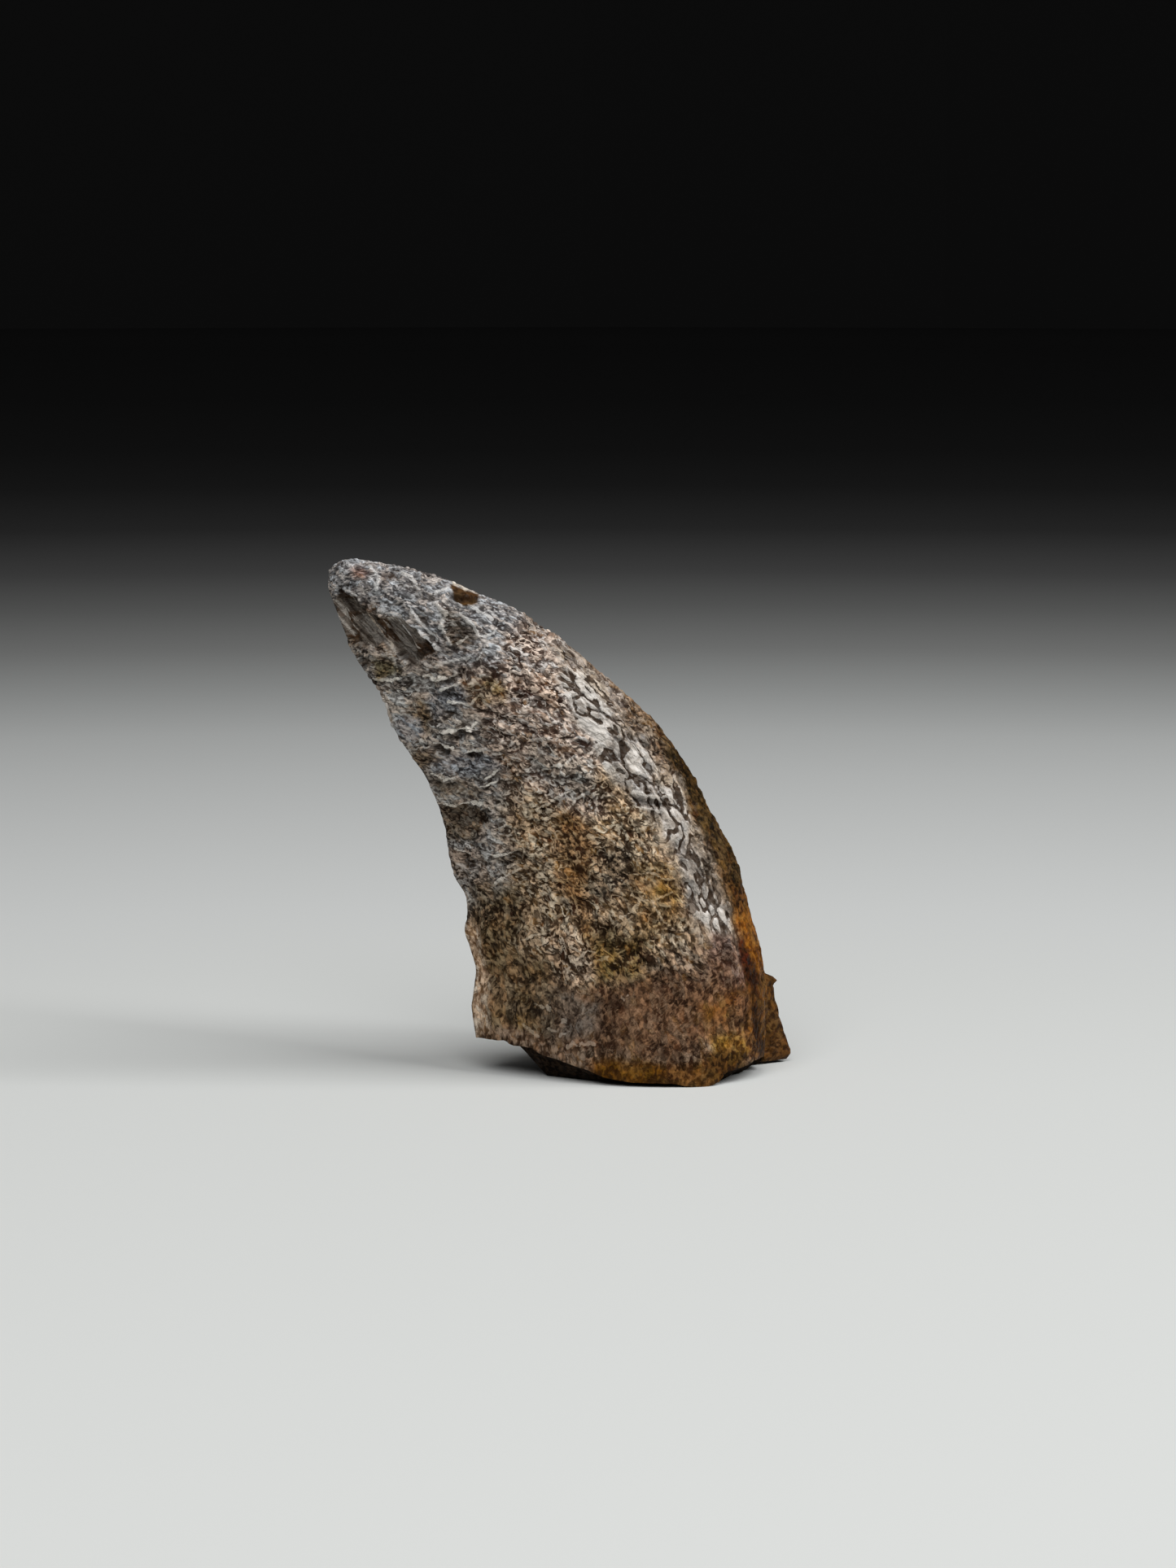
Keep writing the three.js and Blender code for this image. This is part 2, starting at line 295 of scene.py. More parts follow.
ZONES = (
    Zone("warm_middle",
         ((-2.0, 18.8), (3.0, 18.0), (6.7, 13.8), (6.7, 7.7), (2.1, 5.2), (-2.0, 6.1), (-2.8, 13.7)),
         (161, 130, 92), (56, 38, 23), (252, 229, 196), 1.0, 0.4, rough=0.95, fleck=0.95, ochre=1.0),
    Zone("upper_middle",
         ((-5.3, 25.1), (0.1, 23.1), (3.0, 19.8), (1.7, 14.0), (-2.0, 14.6), (-4.5, 20.0), (-5.3, 22.5)),
         (168, 147, 132), (66, 49, 41), (242, 231, 221), 0.9, 0.2, rough=0.95, fleck=0.9, ochre=0.7),
    Zone("brown_cloud",
         ((-2.5, 20.6), (-0.8, 20.9), (0.5, 19.2), (0.2, 17.4), (-1.4, 17.8), (-2.4, 19.2)),
         (168, 138, 119), (60, 40, 32), (246, 228, 212), 0.5, 0.45, fleck=1.0, ochre=1.0),
    Zone("tip_enamel",
         ((-12.5, 27.7), (-5.3, 26.4), (-1.6, 24.1), (-3.2, 22.1), (-5.3, 21.4), (-7.4, 21.9),
          (-10.3, 24.4), (-12.0, 23.5)),
         (150, 150, 152), (54, 49, 48), (230, 230, 230), 0.7, 0.2, rough=0.55, ochre=0.2),
    Zone("distal_band",
         ((-10.9, 22.3), (-6.9, 21.4), (-5.3, 20.8), (-3.6, 17.9), (-2.6, 13.7), (-2.4, 9.1), (-4.4, 8.1),
          (-6.0, 9.1), (-7.0, 13.2), (-9.6, 17.8)),
         (121, 116, 113), (48, 40, 34), (232, 226, 218), patchy=0.2, rough=0.5, ripple=1.0, fleck=0.45,
         ochre=0.25, grit=0.5),
    Zone("grey_middle",
         ((-1.4, 17.8), (0.5, 17.0), (1.9, 15.6), (1.3, 14.5), (-0.3, 15.5), (-1.4, 16.5)),
         (112, 108, 102), (44, 36, 30), (220, 212, 200), 0.4, 0.4, fleck=0.8),
    Zone("distal_ochre",
         ((-7.8, 19.0), (-7.0, 19.4), (-6.3, 18.6), (-6.6, 17.7), (-7.5, 17.7)),
         (92, 78, 58), (38, 28, 18), (190, 164, 128), 0.35, 0.5, rough=0.7, ochre=1.0, grit=0.8,
         faces=OUTER_ONLY),
    Zone("upper_ochre",
         ((-4.7, 20.5), (-3.6, 21.0), (-2.9, 20.4), (-3.1, 19.5), (-4.0, 19.2)),
         (122, 92, 50), (44, 28, 14), (216, 184, 130), 0.35, 0.5, rough=0.8, ochre=1.2, faces=OUTER_ONLY),
    Zone("burnt_column",
         ((-0.5, 13.8), (0.7, 14.5), (1.4, 13.5), (1.6, 11.4), (1.4, 9.4), (1.9, 7.7), (1.0, 7.7),
          (0.1, 9.7), (-0.3, 11.8)),
         (104, 70, 38), (42, 24, 11), (218, 174, 122), 0.5, rough=0.8, fleck=0.6, ochre=1.2),
    Zone("dark_blotch",
         ((1.5, 12.0), (2.6, 12.4), (3.6, 11.9), (3.9, 10.7), (3.2, 9.7), (2.3, 8.9), (1.5, 9.8)),
         (70, 58, 46), (30, 21, 14), (188, 168, 142), 0.5, fleck=0.8, ochre=0.4),
    Zone("mesial_strip",
         ((-0.5, 22.2), (0.9, 21.7), (2.2, 20.3), (4.2, 17.7), (6.1, 15.4), (7.5, 12.1), (8.8, 8.8),
          (8.8, 7.6), (7.6, 6.8), (6.7, 8.2), (5.8, 11.1), (4.2, 13.6), (3.0, 16.0), (1.3, 18.8),
          (0.1, 20.8)),
         (107, 89, 71), (38, 27, 18), (192, 175, 155), 0.3, 0.4, rough=0.4, plates=1.0, fleck=0.3,
         ochre=0.4),
    # painted highlight: the pale core of the mesial strip
    Zone("strip_glaze",
         ((0.2, 21.2), (1.1, 20.9), (2.0, 19.4), (3.3, 17.9), (4.3, 17.7), (5.0, 16.4), (4.8, 15.3),
          (5.9, 15.0), (6.6, 13.8), (6.7, 12.3), (7.3, 11.6), (7.5, 10.2), (8.1, 9.6), (8.6, 8.4),
          (8.6, 7.3), (8.1, 7.0), (7.6, 7.9), (7.0, 8.6), (6.3, 9.3), (6.3, 10.6), (5.9, 11.9), (5.3, 12.6),
          (5.0, 13.6), (3.7, 14.3), (3.6, 15.2), (2.8, 15.6), (2.0, 16.4), (1.7, 17.6), (0.9, 18.6),
          (0.2, 19.7), (-0.2, 20.6)),
         (137, 125, 113), (54, 40, 29), (204, 197, 189), 0.22, 0.2, rough=0.35, plates=1.0, fleck=0.25,
         ochre=0.2, faces=OUTER_ONLY),
    # painted highlight: a pale core on the inner face, like the outer one
    Zone("inner_glaze",
         ((0.3, 20.9), (1.6, 19.8), (2.9, 18.0), (3.6, 16.2), (4.9, 14.6), (5.4, 12.6), (6.4, 10.6),
          (6.1, 9.4), (5.2, 10.4), (4.6, 12.4), (3.6, 13.6), (2.7, 15.6), (1.3, 17.6), (0.6, 19.2)),
         (132, 120, 108), (50, 38, 28), (190, 183, 175), 0.3, rough=0.4, plates=1.0, fleck=0.3,
         faces=(Face.INNER,)),
    Zone("mesial_rim",
         ((-0.6, 23.2), (1.8, 20.85), (4.4, 18.7), (6.25, 15.6), (7.95, 11.8), (8.75, 8.4), (10.6, 8.0),
          (10.0, 12.0), (6.0, 18.6), (1.5, 23.0)),
         (67, 47, 26), (28, 18, 8), (148, 118, 80), 0.3, 0.1, rough=0.75, stria=0.3, fleck=0.35, ochre=0.5,
         grit=0.5),
    Zone("edge_dark",
         ((5.5, 16.9), (6.4, 17.4), (8.5, 13.6), (9.6, 10.5), (9.9, 8.9), (8.9, 8.9), (8.3, 10.6),
          (7.25, 12.7), (6.25, 15.0)),
         (40, 29, 11), (18, 12, 4), (96, 72, 36), 0.25, 0.2, rough=0.6, stria=0.2, fleck=0.2, ochre=0.5,
         grit=0.4),
    Zone("pink_wall",
         ((7.7, 7.7), (8.8, 7.5), (9.7, 5.3), (9.9, 3.6), (9.2, 3.5), (8.2, 4.9), (7.5, 6.4)),
         (104, 78, 66), (42, 24, 17), (190, 164, 150), 0.35, 0.2, rough=0.4, stria=0.6, fleck=0.3,
         ochre=0.5, grit=0.5, faces=OUTER_ONLY),
    Zone("edge_brown",
         ((8.7, 10.0), (9.6, 9.8), (11.6, 5.3), (11.4, 2.0), (9.9, 2.4), (9.6, 5.4)),
         (68, 39, 14), (27, 15, 5), (126, 84, 40), 0.3, 0.1, rough=0.5, fleck=0.1, ochre=0.6, grit=0.7),
    Zone("orange_strip",
         ((8.75, 8.75), (9.5, 8.9), (10.2, 7.0), (10.6, 5.9), (10.2, 5.3), (9.7, 6.3), (9.1, 7.5)),
         (132, 74, 13), (66, 33, 7), (184, 122, 42), 0.3, 0.4, rough=0.35, stria=0.3, fleck=0.1, ochre=0.4,
         grit=0.4),
    # painted shade in the crease where the crown meets the flange, running up the mesial edge
    Zone("burnt_strip",
         ((9.0, 7.4), (9.35, 7.4), (9.8, 6.3), (10.2, 5.0), (10.4, 3.4), (10.4, 1.6), (9.95, 1.6),
          (9.85, 3.4), (9.5, 5.0), (9.15, 6.2)),
         (44, 20, 12), (18, 8, 5), (90, 40, 18), 0.12, 0.0, rough=0.4, fleck=0.05, ochre=0.2,
         faces=OUTER_ONLY),
    Zone("edge_shadow",
         ((10.25, 3.4), (10.8, 3.6), (10.9, 0.4), (10.2, 0.6)),
         (44, 28, 17), (26, 16, 9), (84, 60, 38), 0.25, 0.05, rough=0.1, stria=0.4, fleck=0.0, ochre=0.2,
         grit=0.2),
    Zone("ochre_patch",
         ((3.4, 11.1), (5.4, 11.0), (6.2, 9.8), (6.0, 8.2), (4.6, 8.0), (3.5, 9.0)),
         (114, 79, 31), (52, 33, 12), (190, 149, 80), 0.5, 0.5, rough=0.8, fleck=0.35, ochre=1.1, vein=1.0,
         faces=OUTER_ONLY),
    Zone("olive_patch",
         ((1.4, 8.1), (4.6, 7.8), (4.2, 5.7), (2.1, 5.2), (1.4, 6.4)),
         (74, 54, 22), (31, 21, 8), (178, 146, 88), patchy=0.4, ochre=0.9, vein=0.9, faces=OUTER_ONLY),
    Zone("cream_cluster",
         ((-0.8, 7.5), (0.5, 8.1), (1.6, 7.3), (1.6, 5.8), (0.7, 5.0), (-0.5, 5.4)),
         (142, 112, 86), (48, 31, 17), (246, 219, 190), 0.35, 0.2, fleck=1.1, ochre=0.6, faces=OUTER_ONLY),
    Zone("olive_left",
         ((-4.1, 10.2), (-2.0, 9.9), (-1.5, 8.3), (-2.0, 6.1), (-3.3, 5.1), (-4.1, 6.3)),
         (70, 55, 33), (28, 18, 8), (170, 144, 108), rough=0.8, ochre=0.5, grit=0.6),
    Zone("root_wall",
         ((-1.6, 3.6), (0.5, 4.85), (4.6, 5.9), (8.75, 6.4), (9.0, 3.9), (7.5, 2.75), (7.0, 1.5),
          (4.2, 1.3), (0.5, 1.7), (-1.6, 2.4)),
         (87, 58, 38), (37, 20, 10), (166, 130, 100), patchy=0.15, rough=0.4, stria=0.8, fleck=0.16,
         ochre=0.4, grit=0.8),
    Zone("mauve_root",
         ((-2.0, 4.1), (0.5, 4.8), (2.1, 4.2), (2.2, 2.8), (0.1, 2.3), (-1.8, 2.8)),
         (98, 86, 75), (46, 34, 26), (164, 152, 140), 0.5, rough=0.6, stria=0.5, fleck=0.45, ochre=0.1,
         grit=0.5),
    Zone("rust_root",
         ((7.1, 4.3), (8.8, 4.9), (10.4, 4.2), (10.6, 1.0), (7.9, 1.4), (7.2, 2.8)),
         (88, 52, 16), (40, 22, 8), (154, 103, 44), 0.5, 0.35, rough=0.4, stria=0.5, fleck=0.1, ochre=0.8,
         grit=0.8),
    Zone("root_corner",
         ((-3.9, 7.2), (-0.3, 6.3), (0.1, 3.8), (-1.6, 2.4), (-3.7, 1.9), (-4.1, 5.0)),
         (80, 60, 36), (33, 22, 11), (167, 140, 102), 0.7, rough=0.8, stria=0.2, fleck=0.4, ochre=0.5,
         vein=0.2, grit=0.8),
    Zone("tan_edge",
         ((-5.2, 7.9), (-4.1, 7.6), (-3.75, 5.1), (-3.75, 3.4), (-3.6, 1.4), (-5.2, 1.4)),
         (202, 165, 127), (98, 70, 46), (248, 226, 202), 0.2, 0.15, rough=0.5, fleck=0.3, ochre=0.5,
         grit=0.8),
    Zone("foot_tan",
         ((-4.4, 2.3), (-2.9, 2.7), (-1.9, 2.5), (-0.5, 1.95), (1.6, 1.2), (1.6, 0.4), (-0.8, 0.9),
          (-2.2, 1.2), (-4.4, 1.3)),
         (112, 84, 61), (50, 34, 22), (176, 148, 124), 0.25, rough=0.5, fleck=0.3, grit=0.8),
    Zone("lower_rim",
         ((1.4, 1.2), (2.2, 1.45), (3.8, 1.35), (6.7, 1.3), (9.0, 1.7), (9.4, -0.6), (0.9, -0.6)),
         (90, 54, 7), (50, 28, 4), (134, 90, 22), 0.3, 0.15, rough=0.4, stria=0.15, fleck=0.08, ochre=0.6,
         grit=0.8),
    Zone("yellow_spots",
         ((7.6, 2.5), (9.0, 2.6), (9.5, 1.6), (8.8, 1.1), (7.6, 1.4)),
         (142, 98, 24), (54, 32, 8), (190, 148, 72), 0.3, 0.4, rough=0.5, fleck=0.1, ochre=0.9, grit=0.9),
    Zone("rim_shade",
         ((7.3, 1.5), (8.2, 1.8), (9.3, 1.6), (9.6, 0.6), (8.6, 0.2), (7.2, 0.4)),
         (52, 32, 10), (26, 15, 5), (112, 78, 36), 0.25, rough=0.4, stria=0.2, fleck=0.06, ochre=0.4,
         grit=0.7),
    # painted shade: the crease between crown and flange, carried further down
    Zone("crease_dark",
         ((9.5, 5.8), (10.0, 5.9), (10.45, 4.4), (10.6, 2.6), (10.5, 1.1), (9.95, 1.1), (9.95, 3.0)),
         (42, 21, 7), (20, 10, 4), (82, 46, 16), 0.22, 0.15, rough=0.4, stria=0.2, fleck=0.05, grit=0.5,
         faces=OUTER_ONLY),
    Zone("flange",
         ((10.3, 4.9), (12.5, 4.9), (12.5, -0.5), (10.0, -0.5)),
         (74, 46, 17), (40, 24, 9), (128, 90, 44), 0.25, 0.2, rough=0.45, stria=0.4, fleck=0.1, ochre=0.5,
         grit=0.8),
    Zone("tip_rust",
         ((-10.5, 26.0), (-9.9, 26.2), (-9.5, 25.95), (-9.8, 25.6), (-10.35, 25.6)),
         (112, 84, 74), (54, 36, 30), (190, 160, 148), 0.25, 0.2, rough=0.4, fleck=0.3, ochre=0.5,
         faces=OUTER_ONLY),
    Zone("tip_stain",
         ((-9.0, 25.95), (-8.3, 25.95), (-8.2, 25.5), (-8.9, 25.45)),
         (70, 60, 56), (34, 26, 23), (150, 142, 138), 0.2, 0.1, rough=0.4, fleck=0.3, ochre=0.1,
         faces=OUTER_ONLY),
    Zone("tip_olive",
         ((-9.7, 21.4), (-8.6, 21.5), (-8.2, 20.8), (-9.2, 20.3)),
         (86, 76, 52), (38, 30, 18), (176, 160, 124), 0.25, 0.2, rough=0.5, ochre=0.8, faces=OUTER_ONLY),
    Zone("tip_brown",
         ((-6.2, 24.0), (-4.9, 24.0), (-4.2, 23.2), (-4.6, 22.4), (-5.8, 22.5)),
         (84, 74, 62), (40, 32, 25), (190, 180, 168), 0.4, rough=0.6, ochre=0.6, faces=OUTER_ONLY),
    Zone("slate_flake_a",
         ((-8.4, 18.5), (-7.0, 18.4), (-6.8, 17.7), (-7.8, 17.2), (-8.4, 17.7)),
         (104, 105, 109), (46, 42, 42), (208, 208, 210), 0.2, 0.1, rough=0.35, ripple=0.7,
         faces=OUTER_ONLY),
    Zone("slate_flake_b",
         ((-7.0, 16.6), (-3.2, 16.7), (-2.9, 15.9), (-5.3, 15.5), (-6.8, 15.7)),
         (106, 107, 111), (46, 42, 42), (212, 212, 214), 0.3, 0.1, rough=0.35, ripple=0.8,
         faces=OUTER_ONLY),
    Zone("slate_flake_c",
         ((-5.6, 20.6), (-4.6, 20.2), (-4.9, 19.0), (-6.2, 18.4), (-6.6, 19.4)),
         (104, 106, 110), (44, 40, 40), (208, 208, 210), 0.3, 0.1, rough=0.35, ripple=0.8,
         faces=OUTER_ONLY),
    Zone("brown_ledge_a",
         ((-7.5, 17.0), (-6.6, 17.0), (-6.0, 16.4), (-7.1, 15.6), (-7.6, 16.2)),
         (72, 58, 44), (34, 24, 16), (170, 150, 124), 0.3, 0.1, rough=0.5, ripple=0.8, ochre=0.6,
         faces=OUTER_ONLY),
    Zone("brown_ledge_b",
         ((-6.9, 15.3), (-5.6, 15.2), (-3.8, 15.0), (-4.4, 14.3), (-6.2, 14.3)),
         (66, 56, 48), (32, 24, 18), (176, 162, 144), 0.3, 0.1, rough=0.5, ripple=0.8, faces=OUTER_ONLY),
    Zone("brown_ledge_c",
         ((-6.4, 13.8), (-4.4, 14.0), (-3.6, 13.3), (-4.4, 12.2), (-5.9, 12.0)),
         (64, 52, 40), (28, 20, 13), (170, 152, 130), 0.25, 0.1, rough=0.7, ripple=0.6, ochre=0.5,
         faces=OUTER_ONLY),
    Zone("brown_ledge_d",
         ((-5.9, 11.6), (-4.4, 11.8), (-3.4, 11.2), (-3.8, 10.0), (-5.4, 9.6)),
         (94, 80, 71), (34, 26, 20), (214, 198, 184), 0.35, 0.2, rough=0.8, ripple=0.7, fleck=0.7,
         faces=OUTER_ONLY),
    Zone("chip_floor",
         ((-5.65, 25.28), (-5.2, 25.1), (-4.1, 24.7), (-4.1, 24.44), (-4.45, 24.24), (-4.9, 24.27),
          (-5.12, 24.52), (-5.42, 24.88)),
         (46, 31, 19), (24, 15, 9), (88, 64, 38), 0.05, 0.0, rough=0.2, fleck=0.0, ochre=0.0,
         faces=OUTER_ONLY),
    Zone("chip_gold",
         ((-4.9, 24.55), (-4.2, 24.5), (-4.3, 24.32), (-4.8, 24.36)),
         (116, 80, 36), (60, 38, 16), (160, 120, 66), 0.12, 0.2, rough=0.2, fleck=0.0, faces=OUTER_ONLY),
    Zone("chip_ledge",
         ((-5.6, 25.38), (-5.2, 25.3), (-4.7, 25.1), (-3.98, 24.8), (-4.0, 24.7), (-4.3, 24.76),
          (-4.6, 24.9), (-4.85, 24.93), (-5.1, 25.1), (-5.45, 25.2)),
         (226, 216, 198), (170, 148, 120), (242, 236, 226), 0.04, 0.0, rough=0.3, fleck=0.0, ochre=0.0,
         grit=0.7),
)

# every hollow that isn't a flake is painted with shade, as dark as its dark share
HOLLOWS = (
    Hollow(((-11.15, 24.86), (-10.77, 24.75), (-10.13, 24.39), (-9.72, 23.9), (-9.22, 23.65), (-8.8, 23.7),
            (-8.95, 23.03), (-8.79, 22.29), (-9.37, 22.08), (-9.92, 21.93), (-10.47, 22.19), (-11.3, 22.8),
            (-11.6, 23.6), (-11.7, 24.3)), 0.4, 0.12, True),
    Hollow(((-9.05, 23.68), (-8.29, 23.74), (-7.92, 23.5), (-7.46, 23.23), (-7.09, 22.87), (-6.68, 22.46),
            (-6.35, 21.95), (-6.86, 21.64), (-7.32, 21.16), (-7.66, 21.27), (-8.11, 21.67), (-8.9, 22.05),
            (-9.2, 22.91)), 0.5, 0.14, True),
    Hollow(((-11.26, 24.94), (-10.28, 24.55), (-9.8, 23.83), (-9.04, 23.11), (-8.85, 22.2), (-9.57, 22.13),
            (-10.08, 22.44), (-10.48, 23.33), (-11.14, 24.18)), 0.5, 0.16, dark=0.75),
    Hollow(((-8.82, 23.52), (-8.0, 23.1), (-7.3, 22.05), (-7.31, 21.2), (-8.0, 21.4), (-8.55, 22.1),
            (-9.05, 22.85)), 0.64, 0.18),
    Hollow(((-9.03, 26.0), (-8.52, 25.89), (-8.42, 25.69), (-8.92, 25.69)), 0.1, 0.12, dark=0.6),
    Hollow(((-7.8, 25.45), (-7.5, 25.35), (-7.6, 25.1)), 0.08, 0.1, dark=0.7),
    Hollow(((-7.17, 24.25), (-6.77, 24.08), (-6.86, 23.6), (-7.2, 23.8)), 0.1, 0.1, dark=0.6),
    Hollow(((-6.92, 23.24), (-6.43, 23.0), (-6.26, 22.42), (-6.68, 22.58)), 0.1, 0.1, dark=0.75),
    Hollow(((-7.55, 24.1), (-6.93, 23.68), (-6.33, 22.75), (-5.93, 22.13), (-6.33, 22.15), (-6.95, 22.95)),
           0.2, 0.12, dark=0.7),
    Hollow(((-5.64, 25.07), (-5.31, 24.87), (-4.06, 24.58), (-4.21, 24.38), (-5.03, 24.4), (-5.46, 24.68)),
           0.3, 0.1, dark=0.6),
    Hollow(((-5.56, 23.33), (-4.78, 23.45), (-4.24, 23.03), (-4.32, 22.38), (-5.06, 22.12), (-5.6, 22.6)),
           0.16, 0.3, dark=0.65),
    Hollow(((-5.85, 17.72), (-5.2, 17.95), (-4.45, 18.02), (-4.35, 17.72), (-4.7, 17.45), (-4.95, 17.5),
            (-5.2, 17.35), (-5.6, 17.5)), 0.26, 0.1, dark=1.0),
    Hollow(((-6.6, 17.1), (-5.9, 17.06), (-5.5, 16.86), (-5.75, 16.62), (-6.1, 16.7), (-6.45, 16.68)), 0.22,
           0.1, dark=1.0),
    Hollow(((-4.8, 16.78), (-4.3, 16.88), (-3.85, 16.82), (-4.05, 16.56), (-4.35, 16.62), (-4.7, 16.54)),
           0.2, 0.08, dark=0.9),
    Hollow(((-5.6, 13.85), (-4.6, 14.05), (-3.5, 13.95), (-3.45, 13.5), (-4.2, 13.1), (-4.6, 12.9),
            (-5.2, 12.75), (-5.75, 13.12)), 0.2, 0.2, dark=0.55),
    Hollow(((-7.2, 15.1), (-6.2, 15.25), (-5.2, 15.3), (-4.6, 15.1), (-5.6, 14.85), (-6.6, 14.8)), 0.14,
           0.16, dark=0.5),
    Hollow(((-3.3, 11.2), (-2.6, 11.5), (-1.95, 11.75), (-2.1, 11.4), (-2.9, 10.95)), 0.12, 0.1, dark=0.6),
    Hollow(((-5.3, 11.35), (-4.5, 11.25), (-4.3, 10.9), (-5.0, 10.7)), 0.14, 0.14, dark=0.6),
    Hollow(((-5.95, 18.9), (-5.3, 19.05), (-5.05, 18.7), (-5.65, 18.5)), 0.2, 0.14),
    Hollow(((-6.2, 19.95), (-5.5, 20.1), (-5.3, 19.7), (-5.9, 19.5)), 0.2, 0.14),
    Hollow(((3.74, 14.79), (4.52, 14.6), (5.39, 14.42), (5.3, 14.24), (4.48, 14.36), (3.74, 14.57)), 0.2,
           0.08),
    Hollow(((-10.31, 21.73), (-9.67, 21.64), (-9.69, 21.07), (-10.4, 20.9)), 0.16, 0.1),
    Hollow(((2.3, 18.0), (2.96, 17.83), (3.3, 17.32), (3.0, 16.6), (2.85, 16.7), (3.05, 17.3),
            (2.8, 17.63)), 0.12, 0.06, dark=0.6),
    Hollow(((-9.4, 24.3), (-8.2, 24.0), (-7.6, 23.0), (-8.6, 22.7), (-9.7, 23.4)), 0.3, 0.3, dark=0.6,
           face=Face.INNER),
    Hollow(((-4.9, 16.1), (-3.9, 16.3), (-3.6, 15.8), (-4.6, 15.5)), 0.22, 0.16, dark=0.9, face=Face.INNER),
    Hollow(((1.2, 12.4), (2.6, 12.2), (2.9, 11.4), (1.6, 11.2)), 0.18, 0.3, dark=0.6, face=Face.INNER),
    Hollow(((5.4, 4.6), (6.9, 4.4), (7.2, 3.2), (6.0, 2.9)), 0.2, 0.3, dark=0.6, face=Face.INNER),
)

